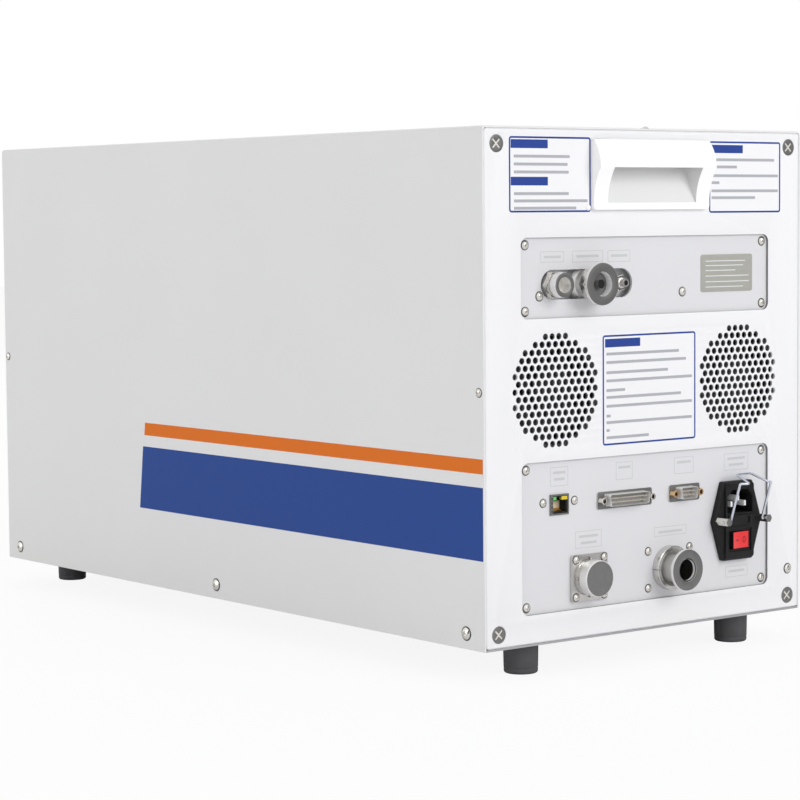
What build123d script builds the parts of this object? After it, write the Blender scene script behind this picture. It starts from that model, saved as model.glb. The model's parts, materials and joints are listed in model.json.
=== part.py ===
from build123d import *
import os
from math import hypot, sqrt

# A bench mass spectrometer: a folded steel case on rubber feet, with a
# connector panel at one end, gas ports, cooling fans, and inside it a
# quadrupole analyser on a turbomolecular pump with its electronics.
# Frame: +Z up, Z = 0 under the feet, X = 0 on the middle of the case,
# and the connector panel faces -Y.  All sizes are millimetres.

os.makedirs("parts", exist_ok=True)

# --- Case -------------------------------------------------------------
CASE_WIDTH = 310
CASE_HEIGHT = 360
CASE_DEPTH = 660
COVER_SHEET = 1.5
COVER_BEND = 3
PANEL_SHEET = 2
PANEL_FLANGE = 14
PANEL_BEND = 2.5
PANEL_CORNER = 3
SLIP = 0.1                      # gap between sheets that slide together
BACK_PLAY = 0.2                 # play between a screw and its clearance hole
FOOT_HEIGHT = 22
FOOT_RADIUS = 12.5
FOOT_X = 104
FOOT_INSET = 22
RAIL_WIDTH = 16
RAIL_HEIGHT = 12.6
RAIL_X = 142.3
RAIL_Z = (11, 347.9)

# --- Handle -----------------------------------------------------------
HANDLE_WIDTH = 113
HANDLE_Z = 327.5                # middle of the handle above the case floor
HANDLE_HEIGHT = 50.4
HANDLE_RIM = 3.5                # how far the flat rim stands off the panel
HANDLE_PROUD = 11               # how far the hooded lip stands off
POCKET_WIDTH = 86
POCKET_FLOOR = -20              # lower edge of the finger pocket, from the middle
LIP_EDGE = 4.6                  # height of the lip's free edge, from the middle
POCKET_DEPTH = 15
WALL = 2

# --- Vent grilles -----------------------------------------------------
GRILLE_X = 89.6
GRILLE_Z = 177.4
VENT_PITCH = 6.18
VENT_RADIUS = 2.25
VENT_REACH = 6.4                # pattern radius, in pitches

# --- Recessed plates and their openings --------------------------------
OPENING_WIDTH = 242
OPENING_CORNER = 5.5
PLATE_LAP = 5                   # how far a plate reaches behind its opening
UPPER_OPENING = (227.6, 283.5)
LOWER_OPENING = (21.7, 127.8)
PLATE_SCREW_X = 115.8
PLATE_SCREW_INSET = 5
LUG = 4

# --- Gas ports, X and height above the case floor ----------------------
PORT_Z = 250.7
GAS_INLET = (-90.5, PORT_Z)
SAMPLE_PORT = (-57.8, PORT_Z)
CAPILLARY_PORT = (-28.1, PORT_Z)
PORT_SLOT = (-58.1, 86, 20.6)   # centre X, length, height
MANIFOLD_SCREWS = ((-102.7, 242.9), (34.3, 242.9))
MANIFOLD_FACE = 12
KF_FLANGE_RADIUS = 15
KF_BORE_RADIUS = 8.6

# --- Connectors on the lower plate -------------------------------------
LAN_JACK = (-85.5, 97)
DSUB_Z = 96.7
DSUB25_X = -23.5
DSUB9_X = 35.5
POWER_INLET = (87.2, 72.5)
PUMP_SOCKET = (-58.4, 43.4)
FORELINE_PORT = (20.8, 43)
EARTH_SCREW = (142.3, 31.3)

# --- Wire bail that holds the mains plug in ----------------------------
WIRE_RADIUS = 0.9
BAIL_POST_X = 20.6
BAIL_PIVOT_OUT = 11             # hinge line, in front of the panel face
BAIL_PIVOT_Z = 0.9              # above the inlet's middle
BAIL_LEG_X = 16.2
BAIL_LEAN = 9.6
BAIL_RISE = 28.5
BAIL_JOG = (6.2, 3.4)           # inwards, and away from the panel
BAIL_BACK = 15.7
BAIL_PINCH = 2.5                # each side closes in by this on its way back
BAIL_STEP = 5.5
BAIL_BEND = 1.2
BAIL_CUT = 0.65                 # what the bends take off the two front corners

# --- Where the faces stand in the row frame ----------------------------
FRONT_REACH = BAIL_PIVOT_OUT + BAIL_LEAN + BAIL_JOG[1] + WIRE_RADIUS - BAIL_CUT
FACE_Y = FRONT_REACH - (CASE_DEPTH + HANDLE_PROUD + FRONT_REACH) / 2
FLOOR_Z = FOOT_HEIGHT


def face(depth=0):
    """Plane parallel to the connector panel, `depth` behind its face."""
    return Plane(origin=(0, FACE_Y + depth, FLOOR_Z), x_dir=(1, 0, 0), z_dir=(0, -1, 0))


def far_face(depth=0):
    """The same plane at the far end, seen from outside."""
    return Plane(
        origin=(0, FACE_Y + CASE_DEPTH - depth, FLOOR_Z), x_dir=(-1, 0, 0), z_dir=(0, 1, 0)
    )


def side(x=0):
    """Plane across the case: its x runs with the depth and its y is up."""
    return Plane(origin=(x, FACE_Y, FLOOR_Z), x_dir=(0, 1, 0), z_dir=(1, 0, 0))


def level(z=0):
    """Horizontal plane `z` above the case floor, with its origin at the face."""
    return Plane(origin=(0, FACE_Y, FLOOR_Z + z), x_dir=(1, 0, 0), z_dir=(0, 0, 1))


def cut_through(spot):
    """Plane through a port's axis: x is the radius and y points out of the panel."""
    x, z = spot
    return Plane(origin=(x, FACE_Y, FLOOR_Z + z), x_dir=(1, 0, 0), z_dir=(0, 0, -1))


def port_axis(spot):
    """The line through a port, square to the panel."""
    x, z = spot
    return Axis((x, FACE_Y, FLOOR_Z + z), (0, 1, 0))


def spots(plane, points):
    """Locations of points (x, y) on a plane."""
    return [plane.location * Location((x, y, 0)) for x, y in points]


def around(spot, offsets):
    """Points at given offsets from a spot."""
    return [(spot[0] + dx, spot[1] + dz) for dx, dz in offsets]


def save(piece, name):
    """Label a finished piece and write its STEP file."""
    piece.part.label = name
    export_step(piece.part, f"parts/{name}.step")


# --- Places that several pieces share -----------------------------------
INNER_WIDTH = CASE_WIDTH - 2 * (COVER_SHEET + SLIP)
PANEL_FOOT = COVER_SHEET + SLIP
PANEL_HEIGHT = CASE_HEIGHT - 2 * PANEL_FOOT
CORNERS = [(x, z) for x in (-RAIL_X, RAIL_X) for z in RAIL_Z]
FOOT_SPOTS = [
    (x, depth) for x in (-FOOT_X, FOOT_X) for depth in (FOOT_INSET, CASE_DEPTH - FOOT_INSET)
]
COVER_ROW = [(depth, RAIL_Z[0]) for depth in (20, CASE_DEPTH / 2, CASE_DEPTH - 20)]
FLANGE_SCREW_DEPTH = 5
FLANGE_ROW = [(depth, 178.5) for depth in (FLANGE_SCREW_DEPTH, CASE_DEPTH - FLANGE_SCREW_DEPTH)]
TOP_ROW = [(0, depth) for depth, z in FLANGE_ROW]


def plate_corners(opening):
    """Screw places of a recessed plate."""
    low, high = opening
    return [
        (x, z)
        for x in (-PLATE_SCREW_X, PLATE_SCREW_X)
        for z in (low + PLATE_SCREW_INSET, high - PLATE_SCREW_INSET)
    ]


def vent_spots():
    """Triangular lattice of vent holes that fills a circle."""
    row_pitch = VENT_PITCH * sqrt(3) / 2
    rows = int(VENT_REACH / (sqrt(3) / 2))
    holes = []
    for row in range(-rows, rows + 1):
        for column in range(-rows, rows + 1):
            x = VENT_PITCH * (column + (row % 2) / 2)
            z = row_pitch * row
            if hypot(x, z) <= VENT_REACH * VENT_PITCH:
                holes.append((x, z))
    return holes


# --- Screws: one of each kind is made first, head up from Z = 0 ----------
M6, M5, M4, M3 = 3, 2.5, 2, 1.5


def button_screw(shank_radius, head_radius, head_height, length):
    """A round-head screw with a hexagon socket."""
    with BuildPart() as screw:
        Cylinder(shank_radius, length, align=(Align.CENTER, Align.CENTER, Align.MAX))
        with BuildSketch(Plane.XZ):
            with BuildLine():
                RadiusArc(
                    (head_radius, 0),
                    (0, head_height),
                    -(head_radius**2 + head_height**2) / (2 * head_height),
                )
                Polyline((0, head_height), (0, 0), (head_radius, 0))
            make_face()
        revolve(axis=Axis.Z)
        with BuildSketch(Plane.XY.offset(head_height)):
            RegularPolygon(head_radius * 0.42, 6)
        extrude(amount=-head_height * 0.6, mode=Mode.SUBTRACT)
    return screw.part


def countersunk_screw(shank_radius, head_radius, length):
    """A flat-head screw with a cross recess, its top level with Z = 0."""
    with BuildPart() as screw:
        with BuildSketch(Plane.XZ):
            with BuildLine():
                Polyline(
                    (0, 0),
                    (head_radius, 0),
                    (shank_radius, shank_radius - head_radius),
                    (shank_radius, -length),
                    (0, -length),
                    close=True,
                )
            make_face()
        revolve(axis=Axis.Z)
        with BuildSketch():
            Rectangle(head_radius * 1.1, head_radius * 0.22)
            Rectangle(head_radius * 0.22, head_radius * 1.1)
        extrude(amount=-head_radius * 0.3, mode=Mode.SUBTRACT)
    return screw.part


# === Enclosure ==========================================================

with BuildPart() as wrap_cover:
    with BuildSketch(face()) as cover_outline:
        with Locations((0, CASE_HEIGHT / 2)):
            Rectangle(CASE_WIDTH, CASE_HEIGHT)
        fillet(cover_outline.vertices().group_by(Axis.Y)[-1], COVER_BEND)
    extrude(amount=-CASE_DEPTH)
    with BuildSketch(face()) as cover_inside:
        with Locations((0, (CASE_HEIGHT - COVER_SHEET) / 2)):
            Rectangle(CASE_WIDTH - 2 * COVER_SHEET, CASE_HEIGHT - COVER_SHEET)
        fillet(cover_inside.vertices().group_by(Axis.Y)[-1], COVER_BEND - COVER_SHEET)
    extrude(amount=-CASE_DEPTH, mode=Mode.SUBTRACT)
    with BuildSketch(side()):
        with Locations(*COVER_ROW):
            Circle(M5 + BACK_PLAY)
        with Locations(*FLANGE_ROW):
            Circle(M3 + BACK_PLAY)
    extrude(amount=CASE_WIDTH, both=True, mode=Mode.SUBTRACT)
    with BuildSketch(level(CASE_HEIGHT)):
        with Locations(*TOP_ROW):
            Circle(M3 + BACK_PLAY)
    extrude(amount=-COVER_BEND, mode=Mode.SUBTRACT)
save(wrap_cover, "wrap_cover")

TRAY_LIP = 24
TRAY_LIP_START = PANEL_FLANGE + 2
with BuildPart() as base_tray:
    with BuildSketch(level()):
        with Locations((0, CASE_DEPTH / 2)):
            Rectangle(INNER_WIDTH, CASE_DEPTH)
    extrude(amount=COVER_SHEET)
    with BuildSketch(face(TRAY_LIP_START)) as tray_lips:
        for x in (-1, 1):
            with Locations((x * (INNER_WIDTH - COVER_SHEET) / 2, TRAY_LIP / 2)):
                Rectangle(COVER_SHEET, TRAY_LIP)
    extrude(amount=2 * TRAY_LIP_START - CASE_DEPTH)
    with BuildSketch(side()):
        with Locations(*COVER_ROW):
            Circle(M5 + BACK_PLAY)
    extrude(amount=CASE_WIDTH, both=True, mode=Mode.SUBTRACT)
    with BuildSketch(level()):
        with Locations(*FOOT_SPOTS):
            Circle(M5 + BACK_PLAY)
    extrude(amount=COVER_SHEET, mode=Mode.SUBTRACT)
save(base_tray, "base_tray")

CORNER_RELIEF = 5


def panel_blank(plane):
    """Folded pan that closes one end of the case, with its screw holes."""
    with BuildPart() as blank:
        with BuildSketch(plane):
            with Locations((0, CASE_HEIGHT / 2)):
                RectangleRounded(INNER_WIDTH, PANEL_HEIGHT, PANEL_CORNER)
        extrude(amount=-PANEL_FLANGE)
        outer = blank.faces().sort_by(SortBy.AREA)[-2:]
        front = outer.sort_by(Axis((0, 0, 0), plane.z_dir))[-1]
        fillet(front.edges(), PANEL_BEND)
        back = blank.faces().sort_by(Axis((0, 0, 0), plane.z_dir))[0]
        offset(amount=-PANEL_SHEET, openings=back)
        with BuildSketch(plane.offset(-PANEL_SHEET)):
            for x in (-1, 1):
                for z in (PANEL_FOOT, PANEL_FOOT + PANEL_HEIGHT):
                    with Locations((x * INNER_WIDTH / 2, z)):
                        Rectangle(CORNER_RELIEF, CORNER_RELIEF)
        extrude(amount=-PANEL_FLANGE, mode=Mode.SUBTRACT)
        with Locations(*spots(plane, CORNERS)):
            CounterSinkHole(M6 + BACK_PLAY, 2 * M6 + BACK_PLAY, 2 * PANEL_SHEET)
        with BuildSketch(side()):
            with Locations(*FLANGE_ROW):
                Circle(M3 + BACK_PLAY)
        extrude(amount=CASE_WIDTH, both=True, mode=Mode.SUBTRACT)
        with BuildSketch(level(CASE_HEIGHT)):
            with Locations(*TOP_ROW):
                Circle(M3 + BACK_PLAY)
        extrude(amount=-2 * PANEL_FLANGE, mode=Mode.SUBTRACT)
        with BuildSketch(plane):
            with Locations((0, HANDLE_Z)):
                Rectangle(POCKET_WIDTH + 2 * WALL + 1, HANDLE_HEIGHT - 5)
        extrude(amount=-PANEL_SHEET, mode=Mode.SUBTRACT)
    return blank.part


# Each vent is punched round; six sides here keep the mesh light.
with BuildPart() as connector_panel:
    add(panel_blank(face()))
    with BuildSketch(face()):
        for low, high in (UPPER_OPENING, LOWER_OPENING):
            with Locations((0, (low + high) / 2)):
                RectangleRounded(OPENING_WIDTH, high - low, OPENING_CORNER)
        for centre in (-GRILLE_X, GRILLE_X):
            with Locations((centre, GRILLE_Z)):
                with Locations(*vent_spots()):
                    RegularPolygon(VENT_RADIUS, 6)
        with Locations(EARTH_SCREW):
            Circle(M4 + BACK_PLAY)
    extrude(amount=-PANEL_SHEET, mode=Mode.SUBTRACT)
save(connector_panel, "connector_panel")

INTAKE_SLOT = (84, 5)
INTAKE_ROWS = 8
INTAKE_PITCH = 12
with BuildPart() as intake_panel:
    add(panel_blank(far_face()))
    with BuildSketch(far_face()):
        with Locations((0, GRILLE_Z)):
            with GridLocations(2 * GRILLE_X, INTAKE_PITCH, 2, INTAKE_ROWS):
                SlotOverall(*INTAKE_SLOT)
    extrude(amount=-PANEL_SHEET, mode=Mode.SUBTRACT)
save(intake_panel, "intake_panel")

with BuildPart() as corner_rails:
    with BuildSketch(face(PANEL_SHEET)):
        with Locations(*CORNERS):
            Rectangle(RAIL_WIDTH, RAIL_HEIGHT)
    extrude(amount=2 * PANEL_SHEET - CASE_DEPTH)
    for end in (face(PANEL_SHEET), far_face(PANEL_SHEET)):
        with Locations(*spots(end, CORNERS)):
            CounterBoreHole(M6 + BACK_PLAY, M6 + 1.4, 1.2, 20)
    for x in (-1, 1):
        with BuildSketch(side(x * (RAIL_X + RAIL_WIDTH / 2))):
            with Locations(*COVER_ROW):
                Circle(M5 + BACK_PLAY)
        extrude(amount=-x * 12, mode=Mode.SUBTRACT)
save(corner_rails, "corner_rails")

# Finger handle: a flat rim, a hooded lip that swells out of it, and a
# wedge-shaped pocket behind the lip.  Local x is across, y up, z outward.
HALF = HANDLE_HEIGHT / 2
with BuildPart() as handle:
    with BuildSketch(Plane.YZ.offset(-HANDLE_WIDTH / 2)):
        with BuildLine():
            Polyline((-HALF, 0), (-HALF, HANDLE_RIM), (POCKET_FLOOR + 3, HANDLE_RIM))
            ThreePointArc(
                (POCKET_FLOOR + 3, HANDLE_RIM),
                (-2.5, HANDLE_RIM + 3.6),
                (LIP_EDGE, HANDLE_PROUD),
            )
            ThreePointArc(
                (LIP_EDGE, HANDLE_PROUD),
                (HALF - 8, HANDLE_RIM + 4.6),
                (HALF, HANDLE_RIM - 1),
            )
            Polyline((HALF, HANDLE_RIM - 1), (HALF, 0), (-HALF, 0))
        make_face()
    extrude(amount=HANDLE_WIDTH)
    rim_corners = handle.edges().filter_by(Axis.Z).group_by(Axis.X)
    fillet(rim_corners[0] + rim_corners[-1], 3)
    with BuildSketch(Plane.YZ.offset(-POCKET_WIDTH / 2 - WALL)):
        with BuildLine():
            Polyline(
                (POCKET_FLOOR - WALL, 0),
                (POCKET_FLOOR - WALL, -WALL),
                (HALF - 8, -POCKET_DEPTH - WALL),
                (HALF - 4, -POCKET_DEPTH - WALL),
                (HALF - 4, 0),
                close=True,
            )
        make_face()
    extrude(amount=POCKET_WIDTH + 2 * WALL)
    with BuildSketch(Plane.YZ.offset(-POCKET_WIDTH / 2)):
        with BuildLine():
            Polyline(
                (LIP_EDGE, 2 * HANDLE_PROUD),
                (POCKET_FLOOR, 2 * HANDLE_PROUD),
                (POCKET_FLOOR, HANDLE_RIM - 1),
                (HALF - 8, -POCKET_DEPTH),
                (HALF - 6, -POCKET_DEPTH),
                (HALF - 6, HANDLE_RIM - 2),
            )
            ThreePointArc(
                (HALF - 6, HANDLE_RIM - 2),
                (HALF - 11, HANDLE_RIM + 2.8),
                (LIP_EDGE, HANDLE_PROUD - WALL),
            )
            Line((LIP_EDGE, HANDLE_PROUD - WALL), (LIP_EDGE, 2 * HANDLE_PROUD))
        make_face()
    extrude(amount=POCKET_WIDTH, mode=Mode.SUBTRACT)

with BuildPart() as connector_end_handle:
    with Locations(*spots(face(), [(0, HANDLE_Z)])):
        add(handle.part)
save(connector_end_handle, "connector_end_handle")

with BuildPart() as intake_end_handle:
    with Locations(*spots(far_face(), [(0, HANDLE_Z)])):
        add(handle.part)
save(intake_end_handle, "intake_end_handle")

FOOT_SEAT = 14                  # height of the screw's seat inside a foot
with BuildPart() as foot:
    with BuildSketch(Plane.XZ):
        with BuildLine():
            Polyline(
                (M5 + BACK_PLAY, FOOT_SEAT),
                (6, FOOT_SEAT),
                (6, 0),
                (FOOT_RADIUS - 1.4, 0),
                (FOOT_RADIUS - 0.4, 1),
                (FOOT_RADIUS, FOOT_HEIGHT),
                (M5 + BACK_PLAY, FOOT_HEIGHT),
                close=True,
            )
        make_face()
    revolve(axis=Axis.Z)
with BuildPart() as rubber_feet:
    for x, depth in FOOT_SPOTS:
        with Locations((x, FACE_Y + depth, 0)):
            add(foot.part)
save(rubber_feet, "rubber_feet")

foot_screw = button_screw(M5, 4.5, 3, FOOT_HEIGHT - FOOT_SEAT + 6)
with BuildPart() as foot_screws:
    for x, depth in FOOT_SPOTS:
        with Locations(Location((x, FACE_Y + depth, FOOT_SEAT), (180, 0, 0))):
            add(foot_screw)
save(foot_screws, "foot_screws")

cover_screw = button_screw(M5, 4.6, 2.4, 11)
flange_screw = button_screw(M3, 3, 1.9, 8)
with BuildPart() as cover_screws:
    for x, turn in ((-CASE_WIDTH / 2, -90), (CASE_WIDTH / 2, 90)):
        for depth, z in COVER_ROW:
            with Locations(Location((x, FACE_Y + depth, FLOOR_Z + z), (0, turn, 0))):
                add(cover_screw)
        for depth, z in FLANGE_ROW:
            with Locations(Location((x, FACE_Y + depth, FLOOR_Z + z), (0, turn, 0))):
                add(flange_screw)
    with Locations(*spots(level(CASE_HEIGHT), TOP_ROW)):
        add(flange_screw)
save(cover_screws, "cover_screws")

corner_screw = countersunk_screw(M6, 2 * M6, 16)
with BuildPart() as corner_screws:
    with Locations(*spots(face(), CORNERS), *spots(far_face(), CORNERS)):
        add(corner_screw)
save(corner_screws, "corner_screws")

with BuildPart() as earth_screw:
    with Locations(*spots(face(), [EARTH_SCREW])):
        add(button_screw(M4, 3.6, 2.2, 8))
save(earth_screw, "earth_screw")

# === Recessed plates =====================================================
PLATE_FACE = PANEL_SHEET
PLATE_SHEET = 2
PLATE_BACK = PLATE_FACE + PLATE_SHEET


def plate_blank(opening):
    """Flat plate behind an opening of the panel, with its corner screw holes."""
    low, high = opening
    with BuildPart() as blank:
        with BuildSketch(face(PLATE_FACE)):
            with Locations((0, (low + high) / 2)):
                Rectangle(OPENING_WIDTH + 2 * PLATE_LAP, high - low + 2 * PLATE_LAP)
            with Locations(*plate_corners(opening)):
                Circle(M3 + BACK_PLAY, mode=Mode.SUBTRACT)
        extrude(amount=-PLATE_SHEET)
    return blank.part


with BuildPart() as upper_port_plate:
    add(plate_blank(UPPER_OPENING))
    with BuildSketch(face(PLATE_FACE)):
        with Locations((PORT_SLOT[0], PORT_Z)):
            SlotOverall(PORT_SLOT[1], PORT_SLOT[2])
        with Locations(*MANIFOLD_SCREWS):
            Circle(M3 + BACK_PLAY)
    extrude(amount=-PLATE_SHEET, mode=Mode.SUBTRACT)
save(upper_port_plate, "upper_port_plate")

LAN_CUTOUT = (16.4, 13.8)
LAN_SCREW_REACH = 14.6
DSUB_SHELL_CUT = 9.6
DSUB25 = (DSUB25_X, 53.04, 47.04, 39, 13)   # X, flange, jackscrew pitch, shell, pins per row
DSUB9 = (DSUB9_X, 30.81, 24.99, 17, 5)
INLET_CUTOUT = (30, 50)
PUMP_SOCKET_PITCH = 26.6
COLLAR_PITCH = (41.4, 26.8)


def square_of(pitch_x, pitch_z):
    """The four corners of a rectangle about the origin."""
    return [(x * pitch_x / 2, z * pitch_z / 2) for x in (-1, 1) for z in (-1, 1)]


with BuildPart() as lower_connector_plate:
    add(plate_blank(LOWER_OPENING))
    with BuildSketch(face(PLATE_FACE)):
        with Locations(LAN_JACK):
            Rectangle(*LAN_CUTOUT)
        with Locations(*around(LAN_JACK, [(-LAN_SCREW_REACH, 1.8), (LAN_SCREW_REACH, 1.8)])):
            Circle(M3 + BACK_PLAY)
        for x, flange, pitch, shell, pins in (DSUB25, DSUB9):
            with Locations((x, DSUB_Z)):
                Rectangle(shell + 0.6, DSUB_SHELL_CUT)
            with Locations((x - pitch / 2, DSUB_Z), (x + pitch / 2, DSUB_Z)):
                Circle(M3 + BACK_PLAY)
        with Locations(POWER_INLET):
            Rectangle(*INLET_CUTOUT)
        with Locations(*around(POWER_INLET, [(-BAIL_POST_X, BAIL_PIVOT_Z), (BAIL_POST_X, BAIL_PIVOT_Z)])):
            Circle(M3 + BACK_PLAY)
        with Locations(PUMP_SOCKET):
            Circle(11)
        with Locations(*around(PUMP_SOCKET, square_of(PUMP_SOCKET_PITCH, PUMP_SOCKET_PITCH))):
            Circle(M3 + BACK_PLAY)
        with Locations(FORELINE_PORT):
            Circle(11)
        with Locations(*around(FORELINE_PORT, square_of(*COLLAR_PITCH))):
            Circle(M3 + BACK_PLAY)
    extrude(amount=-PLATE_SHEET, mode=Mode.SUBTRACT)
save(lower_connector_plate, "lower_connector_plate")

# Stepped bars behind the plates: their ends are welded to the panel.
BAR_WIDTH = 10
BAR_THICKNESS = 3
with BuildPart() as backing_bars:
    for low, high in (UPPER_OPENING, LOWER_OPENING):
        plate_low = low - PLATE_LAP
        plate_high = high + PLATE_LAP
        with BuildSketch(face(PLATE_BACK)):
            with Locations(
                (-PLATE_SCREW_X, (low + high) / 2),
                (PLATE_SCREW_X, (low + high) / 2),
            ):
                Rectangle(BAR_WIDTH, plate_high - plate_low + 2 * LUG)
        extrude(amount=-BAR_THICKNESS)
        with BuildSketch(face(PLATE_BACK)):
            for x in (-PLATE_SCREW_X, PLATE_SCREW_X):
                with Locations(
                    (x, plate_low - LUG / 2 - SLIP / 2), (x, plate_high + LUG / 2 + SLIP / 2)
                ):
                    Rectangle(BAR_WIDTH, LUG - SLIP)
        extrude(amount=PLATE_SHEET)
    with BuildSketch(face(PLATE_BACK)):
        with Locations(*plate_corners(UPPER_OPENING), *plate_corners(LOWER_OPENING)):
            Circle(M3 + BACK_PLAY)
    extrude(amount=-BAR_THICKNESS, mode=Mode.SUBTRACT)
save(backing_bars, "backing_bars")

plate_screw = button_screw(M3, 3.2, 2, PLATE_SHEET + BAR_THICKNESS + 1)
small_screw = button_screw(M3, 2.9, 1.9, 6)
PUMP_SOCKET_FLANGE = 2.5
with BuildPart() as plate_screws:
    with Locations(
        *spots(face(PLATE_FACE), plate_corners(UPPER_OPENING)),
        *spots(face(PLATE_FACE), plate_corners(LOWER_OPENING)),
        *spots(face(PLATE_FACE), MANIFOLD_SCREWS),
    ):
        add(plate_screw)
    with Locations(
        *spots(
            face(PLATE_FACE),
            around(LAN_JACK, [(-LAN_SCREW_REACH, 1.8), (LAN_SCREW_REACH, 1.8)]),
        ),
        *spots(face(PLATE_FACE), around(FORELINE_PORT, square_of(*COLLAR_PITCH))),
        *spots(
            face(PLATE_FACE - PUMP_SOCKET_FLANGE),
            around(PUMP_SOCKET, square_of(PUMP_SOCKET_PITCH, PUMP_SOCKET_PITCH)),
        ),
    ):
        add(small_screw)
save(plate_screws, "plate_screws")

# === Gas ports in the upper plate =========================================
SPIGOT_RADIUS = 5
SPIGOT_LENGTH = 10

with BuildPart() as valve_manifold:
    with BuildSketch(face(MANIFOLD_FACE)):
        with Locations((-34, PORT_Z)):
            Rectangle(152, 32)
    extrude(amount=-44)
    with BuildSketch(face(PLATE_BACK)):
        with Locations(*MANIFOLD_SCREWS):
            Circle(3.5)
    extrude(amount=PLATE_BACK - MANIFOLD_FACE)
    with BuildSketch(face(PLATE_BACK)):
        with Locations(*MANIFOLD_SCREWS):
            Circle(M3 + BACK_PLAY)
    extrude(amount=-6, mode=Mode.SUBTRACT)
    with BuildSketch(face(MANIFOLD_FACE)):
        with Locations(GAS_INLET, SAMPLE_PORT, CAPILLARY_PORT):
            Circle(SPIGOT_RADIUS + SLIP)
    extrude(amount=-SPIGOT_LENGTH, mode=Mode.SUBTRACT)
save(valve_manifold, "valve_manifold")

GAS_INLET_OUT = 11
GAS_NUT_FLAT = 18.1
with BuildPart() as gas_inlet_fitting:
    with BuildSketch(cut_through(GAS_INLET)):
        with BuildLine():
            Polyline(
                (0, -MANIFOLD_FACE - SPIGOT_LENGTH),
                (SPIGOT_RADIUS, -MANIFOLD_FACE - SPIGOT_LENGTH),
                (SPIGOT_RADIUS, -MANIFOLD_FACE),
                (8.4, -MANIFOLD_FACE),
                (8.4, 3),
                (7.8, 3.4),
                (7.8, 4.6),
                (8.8, 5.2),
                (8.8, GAS_INLET_OUT - 0.5),
                (8.3, GAS_INLET_OUT),
                (5.4, GAS_INLET_OUT),
                (5.4, -2),
                (0, -5),
                close=True,
            )
        make_face()
    revolve(axis=port_axis(GAS_INLET))
    with BuildSketch(face(1)):
        with Locations(GAS_INLET):
            RegularPolygon(GAS_NUT_FLAT / 2, 6, major_radius=False)
            Circle(7, mode=Mode.SUBTRACT)
    extrude(amount=4)
save(gas_inlet_fitting, "gas_inlet_fitting")

SAMPLE_OUT = 14
SAMPLE_BORE_DEPTH = 5.6
with BuildPart() as sample_port:
    with BuildSketch(cut_through(SAMPLE_PORT)):
        with BuildLine():
            Polyline(
                (3, -MANIFOLD_FACE - SPIGOT_LENGTH),
                (SPIGOT_RADIUS, -MANIFOLD_FACE - SPIGOT_LENGTH),
                (SPIGOT_RADIUS, -MANIFOLD_FACE),
                (12.5, -MANIFOLD_FACE),
                (12.5, -6),
                (10, -4),
                (10, SAMPLE_OUT - 4),
                (KF_FLANGE_RADIUS, SAMPLE_OUT - 2.6),
                (KF_FLANGE_RADIUS, SAMPLE_OUT),
                (KF_BORE_RADIUS, SAMPLE_OUT),
                (KF_BORE_RADIUS, SAMPLE_OUT - SAMPLE_BORE_DEPTH),
                (3, SAMPLE_OUT - SAMPLE_BORE_DEPTH),
                close=True,
            )
        make_face()
    revolve(axis=port_axis(SAMPLE_PORT))
    with BuildSketch(face(-2)):
        with Locations(SAMPLE_PORT):
            RegularPolygon(11, 6, major_radius=False)
            Circle(9.5, mode=Mode.SUBTRACT)
    extrude(amount=6)
save(sample_port, "sample_port")

CAPILLARY_OUT = 6
with BuildPart() as capillary_fitting:
    with BuildSketch(cut_through(CAPILLARY_PORT)):
        with BuildLine():
            Polyline(
                (0, -MANIFOLD_FACE - SPIGOT_LENGTH),
                (SPIGOT_RADIUS, -MANIFOLD_FACE - SPIGOT_LENGTH),
                (SPIGOT_RADIUS, -MANIFOLD_FACE),
                (6.6, -MANIFOLD_FACE),
                (6.6, -5),
                (3.9, -4),
                (3.9, 1.5),
                (3, 2),
                (3, CAPILLARY_OUT),
                (1.9, CAPILLARY_OUT),
                (1.9, -4),
                (0, -5),
                close=True,
            )
        make_face()
    revolve(axis=port_axis(CAPILLARY_PORT))
save(capillary_fitting, "capillary_fitting")

with BuildPart() as capillary_nut:
    with BuildSketch(face(4)):
        with Locations(CAPILLARY_PORT):
            RegularPolygon(5.5, 6, major_radius=False)
            Circle(3.9 + SLIP / 2, mode=Mode.SUBTRACT)
    extrude(amount=4.5)
    chamfer(capillary_nut.faces().sort_by(Axis.Y)[0].outer_wire().edges(), 0.5)
save(capillary_nut, "capillary_nut")

# === Connectors in the lower plate ========================================
LAN_FACE = 0.8
LAN_DEPTH = 18
with BuildPart() as lan_shell:
    with BuildSketch(face(LAN_FACE)):
        with Locations(LAN_JACK):
            Rectangle(17.2, 14.6)
    extrude(amount=LAN_FACE - PLATE_FACE)
    with BuildSketch(face(PLATE_FACE)):
        with Locations(LAN_JACK):
            Rectangle(LAN_CUTOUT[0] - 0.2, LAN_CUTOUT[1] - 0.2)
    extrude(amount=PLATE_FACE - LAN_DEPTH)
    with BuildSketch(face(LAN_FACE)):
        with Locations(LAN_JACK):
            Rectangle(LAN_CUTOUT[0] - 1.4, LAN_CUTOUT[1] - 1.4)
    extrude(amount=LAN_FACE - LAN_DEPTH + 0.6, mode=Mode.SUBTRACT)
save(lan_shell, "lan_shell")

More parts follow.
